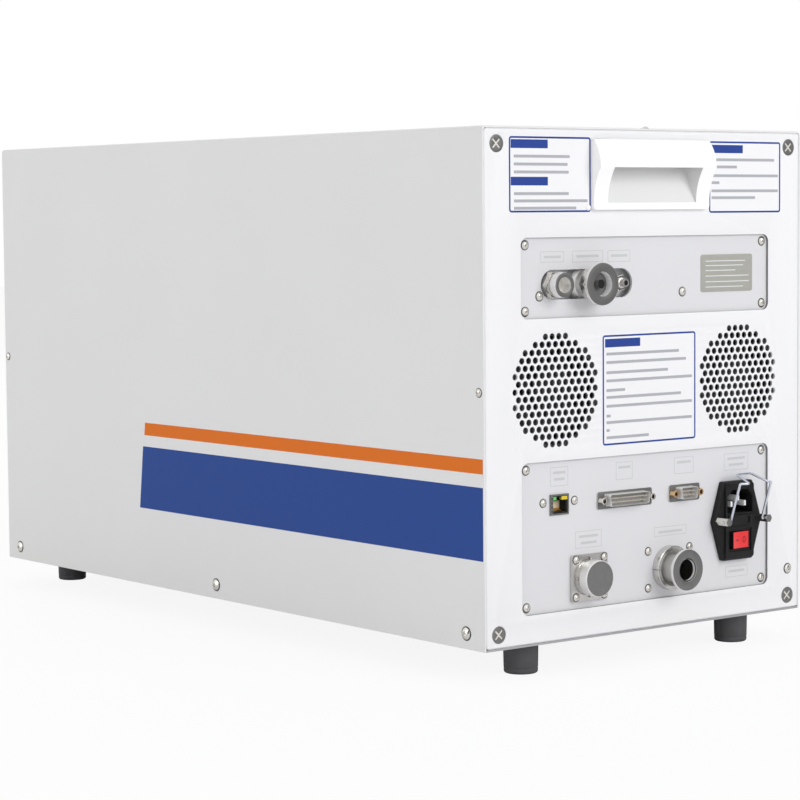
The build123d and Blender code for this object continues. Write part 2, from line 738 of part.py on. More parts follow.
LAN_LAMPS = around(LAN_JACK, [(-5.4, 4.4), (5.4, 4.4)])
with BuildPart() as lan_insert:
    with BuildSketch(face(LAN_FACE + 0.4)):
        with Locations(LAN_JACK):
            Rectangle(LAN_CUTOUT[0] - 1.5, LAN_CUTOUT[1] - 1.5)
    extrude(amount=LAN_FACE - LAN_DEPTH + 1.2)
    with BuildSketch(face(0)):
        with Locations(around(LAN_JACK, [(0, -1.2)])[0]):
            Rectangle(11.8, 7.6)
        with Locations(around(LAN_JACK, [(0, 3.6)])[0]):
            Rectangle(4.4, 3)
    extrude(amount=-13, mode=Mode.SUBTRACT)
    with BuildSketch(face(0)):
        with Locations(*LAN_LAMPS):
            Rectangle(3.4, 2.6)
    extrude(amount=-5, mode=Mode.SUBTRACT)
save(lan_insert, "lan_insert")

with BuildPart() as lan_lamps:
    with BuildSketch(face(LAN_FACE + 0.2)):
        with Locations(*LAN_LAMPS):
            Rectangle(3.3, 2.5)
    extrude(amount=-3.8)
save(lan_lamps, "lan_lamps")

with BuildPart() as lan_contacts:
    with BuildSketch(side(LAN_JACK[0])):
        with BuildLine():
            Polyline(
                (13, LAN_JACK[1] - 5),
                (2.5, LAN_JACK[1] - 5),
                (12.6, LAN_JACK[1] - 1.2),
                (13, LAN_JACK[1] - 1.6),
                (4.6, LAN_JACK[1] - 4.6),
                (13, LAN_JACK[1] - 4.6),
                close=True,
            )
        make_face()
    extrude(amount=0.25, both=True)
contact_pitch = 1.27
with BuildPart() as lan_contact_row:
    for place in range(8):
        with Locations(((place - 3.5) * contact_pitch, 0, 0)):
            add(lan_contacts.part)
save(lan_contact_row, "lan_contacts")

DSUB_OUT = 5.5                  # how far the shell stands out of the panel face
DSUB_FLANGE = 1
DSUB_HEIGHT = 8.6
DSUB_SLANT = 1.5


def dsub_outline(x, width, height):
    """The D shape of a connector, wider at its top."""
    with BuildSketch(face(PLATE_FACE - DSUB_FLANGE)) as outline:
        with Locations((x, DSUB_Z)):
            Polygon(
                (-width / 2, height / 2),
                (DSUB_SLANT - width / 2, -height / 2),
                (width / 2 - DSUB_SLANT, -height / 2),
                (width / 2, height / 2),
                align=None,
            )
        fillet(outline.vertices(), 1.6)
    return outline.sketch


def dsub_pins(spec):
    """Pin places of a D connector: two staggered rows."""
    x, flange, pitch, shell, pins = spec
    step = 2.77
    top = [(x + step * (n - (pins - 1) / 2), DSUB_Z + 1.42) for n in range(pins)]
    low = [(px + step / 2, DSUB_Z - 1.42) for px, pz in top[:-1]]
    return top + low


with BuildPart() as dsub_shells:
    for spec in (DSUB25, DSUB9):
        x, flange, pitch, shell, pins = spec
        with BuildSketch(face(PLATE_FACE)):
            with Locations((x, DSUB_Z)):
                RectangleRounded(flange, 12.55, 1.2)
            with Locations((x - pitch / 2, DSUB_Z), (x + pitch / 2, DSUB_Z)):
                Circle(M3 + BACK_PLAY, mode=Mode.SUBTRACT)
        extrude(amount=DSUB_FLANGE)
        extrude(dsub_outline(x, shell, DSUB_HEIGHT), amount=DSUB_OUT + DSUB_FLANGE)
        extrude(
            dsub_outline(x, shell - 1, DSUB_HEIGHT - 1),
            amount=2 * DSUB_OUT,
            both=True,
            mode=Mode.SUBTRACT,
        )
save(dsub_shells, "dsub_shells")

with BuildPart() as dsub_inserts:
    for spec in (DSUB25, DSUB9):
        x, flange, pitch, shell, pins = spec
        extrude(dsub_outline(x, shell - 1.1, DSUB_HEIGHT - 1.1), amount=-8)
        with BuildSketch(face(PLATE_FACE - DSUB_FLANGE)):
            with Locations(*dsub_pins(spec)):
                Rectangle(0.95, 0.95)
        extrude(amount=-8, mode=Mode.SUBTRACT)
save(dsub_inserts, "dsub_inserts")

with BuildPart() as dsub_contacts:
    with BuildSketch(face(7)):
        with Locations(*dsub_pins(DSUB25), *dsub_pins(DSUB9)):
            Rectangle(0.9, 0.9)
    extrude(amount=7 + DSUB_OUT - 1)
save(dsub_contacts, "dsub_pins")

with BuildPart() as jackscrews:
    for x, flange, pitch, shell, pins in (DSUB25, DSUB9):
        with BuildSketch(face(PLATE_FACE - DSUB_FLANGE)):
            with Locations((x - pitch / 2, DSUB_Z), (x + pitch / 2, DSUB_Z)):
                RegularPolygon(2.4, 6, major_radius=False)
        extrude(amount=5)
        with BuildSketch(face(PLATE_FACE - DSUB_FLANGE)):
            with Locations((x - pitch / 2, DSUB_Z), (x + pitch / 2, DSUB_Z)):
                Circle(M3)
        extrude(amount=-8)
        with BuildSketch(face(PLATE_FACE - DSUB_FLANGE - 5)):
            with Locations((x - pitch / 2, DSUB_Z), (x + pitch / 2, DSUB_Z)):
                Circle(1.25)
        extrude(amount=-6, mode=Mode.SUBTRACT)
save(jackscrews, "jackscrews")

# --- Mains inlet: socket, fuse drawer and switch in one hexagonal body ------
INLET_TIP = 24.5
INLET_TOP = 15
INLET_HALF_HEIGHT = 29.3
INLET_BLOCK = (29.2, 56)
INLET_FLANGE = 5                # flange thickness in front of the plate
INLET_RAISE = 1.5               # the middle block stands this much higher
INLET_FRONT = INLET_FLANGE - PLATE_FACE + INLET_RAISE   # in front of the panel face
SOCKET_Z = 14.4
SOCKET = (26, 17.4)
SOCKET_CORNER = 5
DRAWER_Z = 0.2
DRAWER = (23.6, 8)
DRAWER_DEPTH = 24
SWITCH_Z = -14.4
SWITCH_RECESS = (24, 17)
SWITCH_OPENING = (20, 13.4)
INLET_DEPTH = 30
CLEARANCE = 0.3


def socket_outline(depth, width, height):
    """Appliance-inlet outline with its two upper corners cut off."""
    with BuildSketch(face(depth)) as outline:
        with Locations((POWER_INLET[0], POWER_INLET[1] + SOCKET_Z)):
            Rectangle(width, height)
        chamfer(outline.vertices().group_by(Axis.Y)[-1], SOCKET_CORNER)
    return outline.sketch


with BuildPart() as inlet_body:
    with BuildSketch(face(PLATE_FACE)):
        with Locations(POWER_INLET):
            Polygon(
                (-INLET_TIP, 0),
                (-INLET_TOP, -INLET_HALF_HEIGHT),
                (INLET_TOP, -INLET_HALF_HEIGHT),
                (INLET_TIP, 0),
                (INLET_TOP, INLET_HALF_HEIGHT),
                (-INLET_TOP, INLET_HALF_HEIGHT),
                align=None,
            )
    extrude(amount=INLET_FLANGE)
    fillet(inlet_body.edges().filter_by(Axis.Y), 1.5)
    chamfer(inlet_body.faces().sort_by(Axis.Y)[0].edges(), 1)
    with BuildSketch(face(PLATE_FACE - INLET_FLANGE)):
        with Locations(POWER_INLET):
            RectangleRounded(*INLET_BLOCK, 2.5)
    extrude(amount=INLET_RAISE)
    with BuildSketch(face(PLATE_FACE)):
        with Locations(POWER_INLET):
            Rectangle(INLET_CUTOUT[0] - 0.4, INLET_CUTOUT[1] - 0.4)
    extrude(amount=PLATE_FACE - INLET_DEPTH)
    extrude(socket_outline(-INLET_FRONT, *SOCKET), amount=-16, mode=Mode.SUBTRACT)
    with BuildSketch(face(-INLET_FRONT)):
        with Locations((POWER_INLET[0], POWER_INLET[1] + DRAWER_Z)):
            Rectangle(DRAWER[0] + 2 * CLEARANCE, DRAWER[1] + 2 * CLEARANCE)
    extrude(amount=-DRAWER_DEPTH - 2, mode=Mode.SUBTRACT)
    with BuildSketch(face(-INLET_FRONT)):
        with Locations((POWER_INLET[0], POWER_INLET[1] + SWITCH_Z)):
            Rectangle(*SWITCH_RECESS)
    extrude(amount=-1, mode=Mode.SUBTRACT)
    with BuildSketch(face(-INLET_FRONT)):
        with Locations((POWER_INLET[0], POWER_INLET[1] + SWITCH_Z)):
            Rectangle(*SWITCH_OPENING)
    extrude(amount=-16, mode=Mode.SUBTRACT)
    with Locations((POWER_INLET[0], FACE_Y + 1, FLOOR_Z + POWER_INLET[1] + SWITCH_Z)):
        Cylinder(1.05, SWITCH_OPENING[1] + 2.6, mode=Mode.SUBTRACT)
    with BuildSketch(face(0)):
        with Locations(*around(POWER_INLET, [(x, BAIL_PIVOT_Z) for x in (-BAIL_POST_X, BAIL_POST_X)])):
            Circle(M3 + SLIP)
    extrude(amount=-PLATE_BACK, both=True, mode=Mode.SUBTRACT)
save(inlet_body, "inlet_body")

with BuildPart() as inlet_blades:
    with BuildSketch(face(16 - INLET_FRONT)):
        with Locations(*around(POWER_INLET, [(0, SOCKET_Z + 2.2), (-7, SOCKET_Z - 2), (7, SOCKET_Z - 2)])):
            Rectangle(2, 4)
    extrude(amount=14.5)
    chamfer(inlet_blades.faces().group_by(Axis.Y)[0].edges(), 0.4)
save(inlet_blades, "inlet_blades")

with BuildPart() as fuse_drawer:
    with BuildSketch(face(-INLET_FRONT - 0.6)):
        with Locations((POWER_INLET[0], POWER_INLET[1] + DRAWER_Z)):
            Rectangle(*DRAWER)
    extrude(amount=-DRAWER_DEPTH)
    with BuildSketch(level(POWER_INLET[1] + DRAWER_Z + DRAWER[1] / 2)):
        with Locations((POWER_INLET[0], DRAWER_DEPTH / 2 - INLET_FRONT + 1.5)):
            Rectangle(DRAWER[0] - 3, DRAWER_DEPTH - 8)
    extrude(amount=1.5 - DRAWER[1], mode=Mode.SUBTRACT)
    with BuildSketch(face(-INLET_FRONT - 0.6)):
        with Locations((POWER_INLET[0] + 8.5, POWER_INLET[1] + DRAWER_Z)):
            Rectangle(3, 4.6)
    extrude(amount=-1.2, mode=Mode.SUBTRACT)
save(fuse_drawer, "fuse_drawer")

with BuildPart() as drawer_fuse:
    fuse_z = FLOOR_Z + POWER_INLET[1] + DRAWER_Z - DRAWER[1] / 2 + 1.5 + 2.5
    fuse_y = FACE_Y + DRAWER_DEPTH / 2 - INLET_FRONT + 1.5
    with Locations(Location((POWER_INLET[0], fuse_y, fuse_z), (0, 90, 0))):
        Cylinder(2.2, 10)
        with Locations((0, 0, -7.5), (0, 0, 7.5)):
            Cylinder(2.5, 5)
save(drawer_fuse, "drawer_fuse")

ROCKER_WIDTH = 17
ROCKER_HEIGHT = 12.2
ROCKER_TILT = 5                 # half of the rocker's travel, in degrees
ROCKER_PIVOT = 1                # hinge line behind the panel face
ROCKER_END = INLET_FRONT + ROCKER_PIVOT + 0.7   # from the hinge line to the face's ends
ROCKER_DISH = 0.6
rocker_axis_plane = Plane(
    origin=(POWER_INLET[0], FACE_Y + ROCKER_PIVOT, FLOOR_Z + POWER_INLET[1] + SWITCH_Z),
    x_dir=(1, 0, 0),
    z_dir=(0, 0, 1),
).rotated((0, 0, ROCKER_TILT))
with BuildPart() as rocker:
    with BuildSketch(rocker_axis_plane.offset(-ROCKER_HEIGHT / 2)):
        with BuildLine():
            edge = ROCKER_WIDTH / 2
            Polyline((-edge, -ROCKER_END), (-edge, 1), (-5, 4.5), (5, 4.5), (edge, 1), (edge, -ROCKER_END))
            ThreePointArc((edge, -ROCKER_END), (0, ROCKER_DISH - ROCKER_END), (-edge, -ROCKER_END))
        make_face()
    extrude(amount=ROCKER_HEIGHT)
    with Locations(rocker_axis_plane.location):
        Cylinder(1, ROCKER_HEIGHT + 2.4)
save(rocker, "rocker")

POST_START = PLATE_FACE - INLET_FLANGE
POST_OUT = 14.2
POST_FLAT = 5.5                 # across the flats
with BuildPart() as bail_posts:
    post_spots = around(POWER_INLET, [(x, BAIL_PIVOT_Z) for x in (-BAIL_POST_X, BAIL_POST_X)])
    with BuildSketch(face(POST_START)):
        with Locations(*post_spots):
            RegularPolygon(POST_FLAT / 2, 6, major_radius=False)
    extrude(amount=POST_OUT + POST_START)
    with BuildSketch(face(POST_START)):
        with Locations(*post_spots):
            Circle(M3)
    extrude(amount=-INLET_FLANGE - PLATE_SHEET - 2)
    with BuildSketch(side(POWER_INLET[0])):
        with Locations((-BAIL_PIVOT_OUT, POWER_INLET[1] + BAIL_PIVOT_Z)):
            Circle(WIRE_RADIUS + 0.06)
    extrude(amount=2 * BAIL_POST_X, both=True, mode=Mode.SUBTRACT)
save(bail_posts, "bail_posts")

pivot = Vector(POWER_INLET[0], FACE_Y - BAIL_PIVOT_OUT, FLOOR_Z + POWER_INLET[1] + BAIL_PIVOT_Z)
bail_front = BAIL_LEAN + BAIL_JOG[1]
bail_half = [
    (BAIL_POST_X + 4.4, 0, 0),
    (BAIL_LEG_X, 0, 0),
    (BAIL_LEG_X, -BAIL_LEAN, BAIL_RISE),
    (BAIL_LEG_X - BAIL_JOG[0], -bail_front, BAIL_RISE),
    (BAIL_LEG_X - BAIL_JOG[0] - BAIL_PINCH, BAIL_BACK - bail_front, BAIL_RISE + BAIL_STEP),
]
bail_route = [pivot + Vector(*p) for p in bail_half]
bail_route += [pivot + Vector(-x, y, z) for x, y, z in reversed(bail_half)]
with BuildPart() as wire_bail:
    with BuildLine() as bail_line:
        FilletPolyline(*bail_route, radius=BAIL_BEND)
    with BuildSketch(Plane(origin=bail_line.line @ 0, z_dir=bail_line.line % 0)):
        Circle(WIRE_RADIUS)
    sweep()
save(wire_bail, "wire_bail")

# --- Pump power socket with its dust cap -------------------------------------
SOCKET_BARREL = 11.4
CAP_OUT = 11
CAP_RADIUS = 13
with BuildPart() as pump_socket:
    with BuildSketch(face(PLATE_FACE)):
        with Locations(PUMP_SOCKET):
            RectangleRounded(33.4, 33.4, 2)
        with Locations(*around(PUMP_SOCKET, square_of(PUMP_SOCKET_PITCH, PUMP_SOCKET_PITCH))):
            Circle(M3 + BACK_PLAY, mode=Mode.SUBTRACT)
    extrude(amount=PUMP_SOCKET_FLANGE)
    with BuildSketch(cut_through(PUMP_SOCKET)):
        with BuildLine():
            Polyline(
                (0, -16),
                (10.6, -16),
                (10.6, -PLATE_FACE),
                (12.6, -PLATE_FACE),
                (12.6, 3),
                (SOCKET_BARREL, 3),
                (SOCKET_BARREL, CAP_OUT - 2.4),
                (9.6, CAP_OUT - 2.4),
                (9.6, PUMP_SOCKET_FLANGE - PLATE_FACE),
                (0, PUMP_SOCKET_FLANGE - PLATE_FACE),
                close=True,
            )
        make_face()
    revolve(axis=port_axis(PUMP_SOCKET))
    for dx, dz, turn in ((13.1, 0, 90), (-13.1, 0, 90), (0, 13.1, 0), (0, -13.1, 0)):
        stud_centre = (PUMP_SOCKET[0] + dx, FACE_Y - 1.8, FLOOR_Z + PUMP_SOCKET[1] + dz)
        with Locations(Location(stud_centre, (0, turn, 0))):
            Cylinder(1.1, 2.4)
save(pump_socket, "pump_socket")

with BuildPart() as pump_socket_pins:
    with BuildSketch(face(PLATE_FACE - PUMP_SOCKET_FLANGE)):
        with Locations(*around(PUMP_SOCKET, [(-4, 2.4), (4, 2.4), (0, -4.6)])):
            Circle(1.2)
    extrude(amount=7)
save(pump_socket_pins, "pump_socket_pins")

with BuildPart() as dust_cap:
    with BuildSketch(cut_through(PUMP_SOCKET)):
        with BuildLine():
            Polyline(
                (0, CAP_OUT),
                (CAP_RADIUS - 0.6, CAP_OUT),
                (CAP_RADIUS, CAP_OUT - 0.6),
                (CAP_RADIUS, 3 + CLEARANCE),
                (SOCKET_BARREL + CLEARANCE, 3 + CLEARANCE),
                (SOCKET_BARREL + CLEARANCE, CAP_OUT - 2.4 + CLEARANCE),
                (0, CAP_OUT - 2.4 + CLEARANCE),
                close=True,
            )
        make_face()
    revolve(axis=port_axis(PUMP_SOCKET))
save(dust_cap, "dust_cap")

# --- Foreline port with its split collar --------------------------------------
FORELINE_OUT = 18
TUBE_RADIUS = 10
FORELINE_BORE = 8.2
COLLAR_RADIUS = 16.3
COLLAR_SEAM = 0.4
with BuildPart() as foreline_port:
    with BuildSketch(cut_through(FORELINE_PORT)):
        with BuildLine():
            Polyline(
                (FORELINE_BORE, -40),
                (TUBE_RADIUS, -40),
                (TUBE_RADIUS, FORELINE_OUT - 4),
                (KF_FLANGE_RADIUS, FORELINE_OUT - 2.6),
                (KF_FLANGE_RADIUS, FORELINE_OUT),
                (KF_BORE_RADIUS, FORELINE_OUT),
                (FORELINE_BORE, FORELINE_OUT - 3),
                close=True,
            )
        make_face()
    revolve(axis=port_axis(FORELINE_PORT))
save(foreline_port, "foreline_port")

with BuildPart() as collar:
    with BuildSketch(cut_through(FORELINE_PORT)):
        with BuildLine():
            Polyline(
                (TUBE_RADIUS, -PLATE_FACE),
                (COLLAR_RADIUS, -PLATE_FACE),
                (COLLAR_RADIUS, 3.4),
                (COLLAR_RADIUS - 0.6, 4),
                (13.4, 4),
                (TUBE_RADIUS, 0.6),
                close=True,
            )
        make_face()
    revolve(axis=port_axis(FORELINE_PORT))
    with BuildSketch(face(PLATE_FACE)):
        with Locations(FORELINE_PORT):
            Rectangle(2 * COLLAR_RADIUS, COLLAR_SEAM)
    extrude(amount=2 * PLATE_FACE + 4, mode=Mode.SUBTRACT)
save(collar, "split_collar")

# === Cooling fans behind the grilles =============================================
FAN_SIZE = 80
FAN_THICKNESS = 25
FAN_BORE = 38
FAN_BLADES = 7
FAN_HUB = 17
FAN_FRONT = PANEL_SHEET
FAN_STRUT = 3
FAN_SPOTS = {"left": (-GRILLE_X, GRILLE_Z), "right": (GRILLE_X, GRILLE_Z)}
with BuildPart() as fan_frames:
    with BuildSketch(face(FAN_FRONT)):
        with Locations(*FAN_SPOTS.values()):
            RectangleRounded(FAN_SIZE, FAN_SIZE, 4)
            Circle(FAN_BORE, mode=Mode.SUBTRACT)
            with GridLocations(71.5, 71.5, 2, 2):
                Circle(2.2, mode=Mode.SUBTRACT)
    extrude(amount=-FAN_THICKNESS)
    with BuildSketch(face(FAN_FRONT + FAN_THICKNESS)):
        with Locations(*FAN_SPOTS.values()):
            Circle(FAN_HUB)
            with PolarLocations(FAN_BORE / 2 + 5, 4, 45):
                Rectangle(FAN_BORE, 4)
    extrude(amount=FAN_STRUT)
    with BuildSketch(face(FAN_FRONT + FAN_THICKNESS)):
        with Locations(*FAN_SPOTS.values()):
            Circle(4)
    extrude(amount=FAN_STRUT + 8)
    with BuildSketch(face(FAN_FRONT)):
        with Locations(*FAN_SPOTS.values()):
            Circle(1.56)
    extrude(amount=-FAN_THICKNESS, mode=Mode.SUBTRACT)
save(fan_frames, "fan_frames")

for hand, centre in FAN_SPOTS.items():
    with BuildPart() as fan_rotor:
        rotor_back = FAN_FRONT + FAN_THICKNESS - FAN_STRUT - 1
        with BuildSketch(cut_through(centre)):
            with BuildLine():
                Polyline(
                    (0, -FAN_FRONT - 2),
                    (FAN_HUB - 1, -FAN_FRONT - 2),
                    (FAN_HUB, -FAN_FRONT - 3),
                    (FAN_HUB, -rotor_back),
                    (FAN_HUB - 2, -rotor_back),
                    (FAN_HUB - 2, -FAN_FRONT - 4),
                    (1.5, -FAN_FRONT - 4),
                    (1.5, -rotor_back),
                    (0, -rotor_back),
                    close=True,
                )
            make_face()
        revolve(axis=port_axis(centre))
        for blade in range(FAN_BLADES):
            with Locations(
                Location(
                    (centre[0], FACE_Y + 13, FLOOR_Z + GRILLE_Z), (0, blade * 360 / FAN_BLADES, 0)
                )
            ):
                with Locations(Location((FAN_HUB + 9.6, 0, 0), (38, 0, 0))):
                    Box(20, 1.6, 20)
    save(fan_rotor, f"fan_rotor_{hand}")

# === Vacuum system ================================================================
VACUUM_X = SAMPLE_PORT[0]
CHAMBER_START = 150
CHAMBER_END = 430
CHAMBER_RADIUS = 32
CF_RADIUS = 43
CF_THICKNESS = 13
PUMP_DEPTH = 300
PUMP_RADIUS = 50
PUMP_BASE = 24
PUMP_TOP = 200

with BuildPart() as inlet_tube:
    with BuildSketch(face(MANIFOLD_FACE + 44)):
        with Locations(SAMPLE_PORT):
            Circle(6)
            Circle(4.5, mode=Mode.SUBTRACT)
    extrude(amount=MANIFOLD_FACE + 44 - CHAMBER_START)
save(inlet_tube, "inlet_tube")

with BuildPart() as vacuum_chamber:
    with BuildSketch(face(CHAMBER_START)):
        with Locations(SAMPLE_PORT):
            Circle(CHAMBER_RADIUS)
    extrude(amount=CHAMBER_START - CHAMBER_END)
    with BuildSketch(face(CHAMBER_START)):
        with Locations(SAMPLE_PORT):
            Circle(CF_RADIUS)
    extrude(amount=-CF_THICKNESS)
    with BuildSketch(face(CHAMBER_END)):
        with Locations(SAMPLE_PORT):
            Circle(CF_RADIUS)
    extrude(amount=CF_THICKNESS)
    with BuildSketch(level(PUMP_TOP)):
        with Locations((VACUUM_X, PUMP_DEPTH)):
            Circle(CHAMBER_RADIUS)
    extrude(amount=PORT_Z - PUMP_TOP)
    with BuildSketch(level(PUMP_TOP)):
        with Locations((VACUUM_X, PUMP_DEPTH)):
            Circle(PUMP_RADIUS)
    extrude(amount=CF_THICKNESS)
    with BuildSketch(face(CHAMBER_END)):
        with Locations(SAMPLE_PORT):
            Circle(CHAMBER_RADIUS - 3)
    extrude(amount=CHAMBER_END - CHAMBER_START - 8, mode=Mode.SUBTRACT)
    with BuildSketch(level(PUMP_TOP)):
        with Locations((VACUUM_X, PUMP_DEPTH)):
            Circle(CHAMBER_RADIUS - 3)
    extrude(amount=PORT_Z - PUMP_TOP, mode=Mode.SUBTRACT)
    with BuildSketch(face(CHAMBER_START)):
        with Locations(SAMPLE_PORT):
            Circle(4.5)
    extrude(amount=-10, mode=Mode.SUBTRACT)
save(vacuum_chamber, "vacuum_chamber")

with BuildPart() as pump_housing:
    with BuildSketch(level(PUMP_BASE)):
        with Locations((VACUUM_X, PUMP_DEPTH)):
            Circle(PUMP_RADIUS)
    extrude(amount=PUMP_TOP - PUMP_BASE)
    with BuildSketch(level(PUMP_TOP)):
        with Locations((VACUUM_X, PUMP_DEPTH)):
            Circle(PUMP_RADIUS - 8)
    extrude(amount=-100, mode=Mode.SUBTRACT)
    with BuildSketch(level(PUMP_TOP - 130)):
        with Locations((VACUUM_X, PUMP_DEPTH)):
            Circle(6.06)
    extrude(amount=30, mode=Mode.SUBTRACT)
    with BuildSketch(side(VACUUM_X + PUMP_RADIUS - 4)):
        with Locations((PUMP_DEPTH, FORELINE_PORT[1])):
            Circle(TUBE_RADIUS + 3)
    extrude(amount=12)
    with BuildSketch(side(VACUUM_X + PUMP_RADIUS + 8)):
        with Locations((PUMP_DEPTH, FORELINE_PORT[1])):
            Circle(FORELINE_BORE)
    extrude(amount=-40, mode=Mode.SUBTRACT)
save(pump_housing, "pump_housing")

ROTOR_STAGES = 4
STAGE_BLADES = 12
with BuildPart() as pump_rotor:
    rotor_z = FLOOR_Z + PUMP_TOP - 92
    with Locations((VACUUM_X, FACE_Y + PUMP_DEPTH, rotor_z)):
        Cylinder(16, 80, align=(Align.CENTER, Align.CENTER, Align.MIN))
    with Locations((VACUUM_X, FACE_Y + PUMP_DEPTH, rotor_z - 34)):
        Cylinder(6, 34, align=(Align.CENTER, Align.CENTER, Align.MIN))
    for stage in range(ROTOR_STAGES):
        stage_z = rotor_z + 12 + 19 * stage
        tilt = 40 if stage % 2 else 32
        for blade in range(STAGE_BLADES):
            with Locations(
                Location(
                    (VACUUM_X, FACE_Y + PUMP_DEPTH, stage_z), (0, 0, blade * 360 / STAGE_BLADES)
                )
            ):
                with Locations(Location((26.5, 0, 0), (tilt, 0, 0))):
                    Box(25, 8, 1.6)
save(pump_rotor, "pump_rotor")

with BuildPart() as pump_stand:
    with BuildSketch(level(COVER_SHEET)):
        with Locations((VACUUM_X, PUMP_DEPTH)):
            Rectangle(130, 120)
    extrude(amount=3)
    with BuildSketch(level(COVER_SHEET + 3)):
        with Locations((VACUUM_X, PUMP_DEPTH)):
            with GridLocations(60, 60, 2, 2):
                Circle(8)
    extrude(amount=PUMP_BASE - COVER_SHEET - 3)
save(pump_stand, "pump_stand")

BEND = 25
with BuildPart() as foreline_tube:
    start = (FORELINE_PORT[0], FACE_Y + 40, FLOOR_Z + FORELINE_PORT[1])
    corner = (FORELINE_PORT[0], FACE_Y + PUMP_DEPTH, FLOOR_Z + FORELINE_PORT[1])
    finish = (VACUUM_X + PUMP_RADIUS + 8, FACE_Y + PUMP_DEPTH, FLOOR_Z + FORELINE_PORT[1])
    with BuildLine() as foreline_route:
        FilletPolyline(start, corner, finish, radius=BEND - 5)
    with BuildSketch(Plane(origin=foreline_route.line @ 0, z_dir=foreline_route.line % 0)):
        Circle(TUBE_RADIUS)
        Circle(FORELINE_BORE, mode=Mode.SUBTRACT)
    sweep()
save(foreline_tube, "foreline_tube")

ROD_RADIUS = 4
ROD_RING = 9.2
ROD_START = 210
ROD_END = 380
with BuildPart() as quadrupole_rods:
    with BuildSketch(face(ROD_START)):
        with Locations(SAMPLE_PORT):
            with PolarLocations(ROD_RING, 4, 45):
                Circle(ROD_RADIUS)
    extrude(amount=ROD_START - ROD_END)
save(quadrupole_rods, "quadrupole_rods")

with BuildPart() as rod_holders:
    for depth in (ROD_START + 10, ROD_END - 22):
        with BuildSketch(face(depth)):
            with Locations(SAMPLE_PORT):
                Circle(CHAMBER_RADIUS - 3.1)
                Circle(5, mode=Mode.SUBTRACT)
                with PolarLocations(ROD_RING, 4, 45):
                    Circle(ROD_RADIUS + SLIP / 2, mode=Mode.SUBTRACT)
        extrude(amount=-12)
save(rod_holders, "rod_holders")

with BuildPart() as ion_source:
    with BuildSketch(cut_through(SAMPLE_PORT)):
        with BuildLine():
            Polyline(
                (5, -ROD_START + 4),
                (16, -ROD_START + 4),
                (16, -ROD_START + 10),
                (12, -ROD_START + 12),
                (12, -ROD_START + 32),
                (5, -ROD_START + 34),
                close=True,
            )
        make_face()
    revolve(axis=port_axis(SAMPLE_PORT))
save(ion_source, "ion_source")

with BuildPart() as ion_detector:
    with BuildSketch(cut_through(SAMPLE_PORT)):
        with BuildLine():
            Polyline(
                (0, -CHAMBER_END + 2),
                (22, -CHAMBER_END + 2),
                (22, -CHAMBER_END + 8),
                (12, -CHAMBER_END + 12),
                (12, -ROD_END - 6),
                (8, -ROD_END - 3),
                (8, -ROD_END - 10),
                (0, -ROD_END - 12),
                close=True,
            )
        make_face()
    revolve(axis=port_axis(SAMPLE_PORT))
save(ion_detector, "ion_detector")

with BuildPart() as rf_box:
    with BuildSketch(face(CHAMBER_END)):
        with Locations(SAMPLE_PORT):
            RectangleRounded(100, 80, 4)
    extrude(amount=-150)
    with BuildSketch(face(CHAMBER_END)):
        with Locations(SAMPLE_PORT):
            Circle(22.2)
    extrude(amount=-3, mode=Mode.SUBTRACT)
save(rf_box, "rf_box")

with BuildPart() as power_supply:
    with BuildSketch(level(COVER_SHEET)):
        with Locations((82, 300)):
            Rectangle(98, 200)
    extrude(amount=42)
    with BuildSketch(level(COVER_SHEET + 42)):
        with Locations((82, 300)):
            with GridLocations(0, 12, 1, 13):
                SlotOverall(70, 4)
    extrude(amount=-2, mode=Mode.SUBTRACT)
save(power_supply, "power_supply")

BOARD_Z = COVER_SHEET + 42 + 12
with BuildPart() as board_pillars:
    with BuildSketch(level(COVER_SHEET + 42)):
        with Locations((82, 300)):
            with GridLocations(84, 176, 2, 2):
                RegularPolygon(3, 6)
    extrude(amount=12)
save(board_pillars, "board_pillars")

with BuildPart() as control_board:
    with BuildSketch(level(BOARD_Z)):
        with Locations((82, 300)):
            Rectangle(96, 190)
    extrude(amount=1.6)
    with BuildSketch(level(BOARD_Z + 1.6)):
        with Locations((70, 260), (100, 330)):
            Rectangle(26, 26)
        with Locations((55, 360), (55, 230)):
            Rectangle(16, 34)
    extrude(amount=6)
save(control_board, "control_board")
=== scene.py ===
# %% [markdown]
# # Dressing a bench mass spectrometer
# The instrument is a folded steel case on rubber feet. One end carries its
# connectors: gas ports, plugs, a mains inlet and two fan grilles. The solid
# model comes from CAD and fixes every size. Here each visible part gets its
# finer shape and its finish. Two ways were open: draw over the CAD meshes,
# or keep them as they are and stand finer pieces in for them. The second is
# used, because the solid model then stays the one true measure.

# %% Load the solid model
import json
from math import cos, hypot, pi, radians, sin, sqrt

import bmesh
import bpy
from mathutils import Matrix, Vector


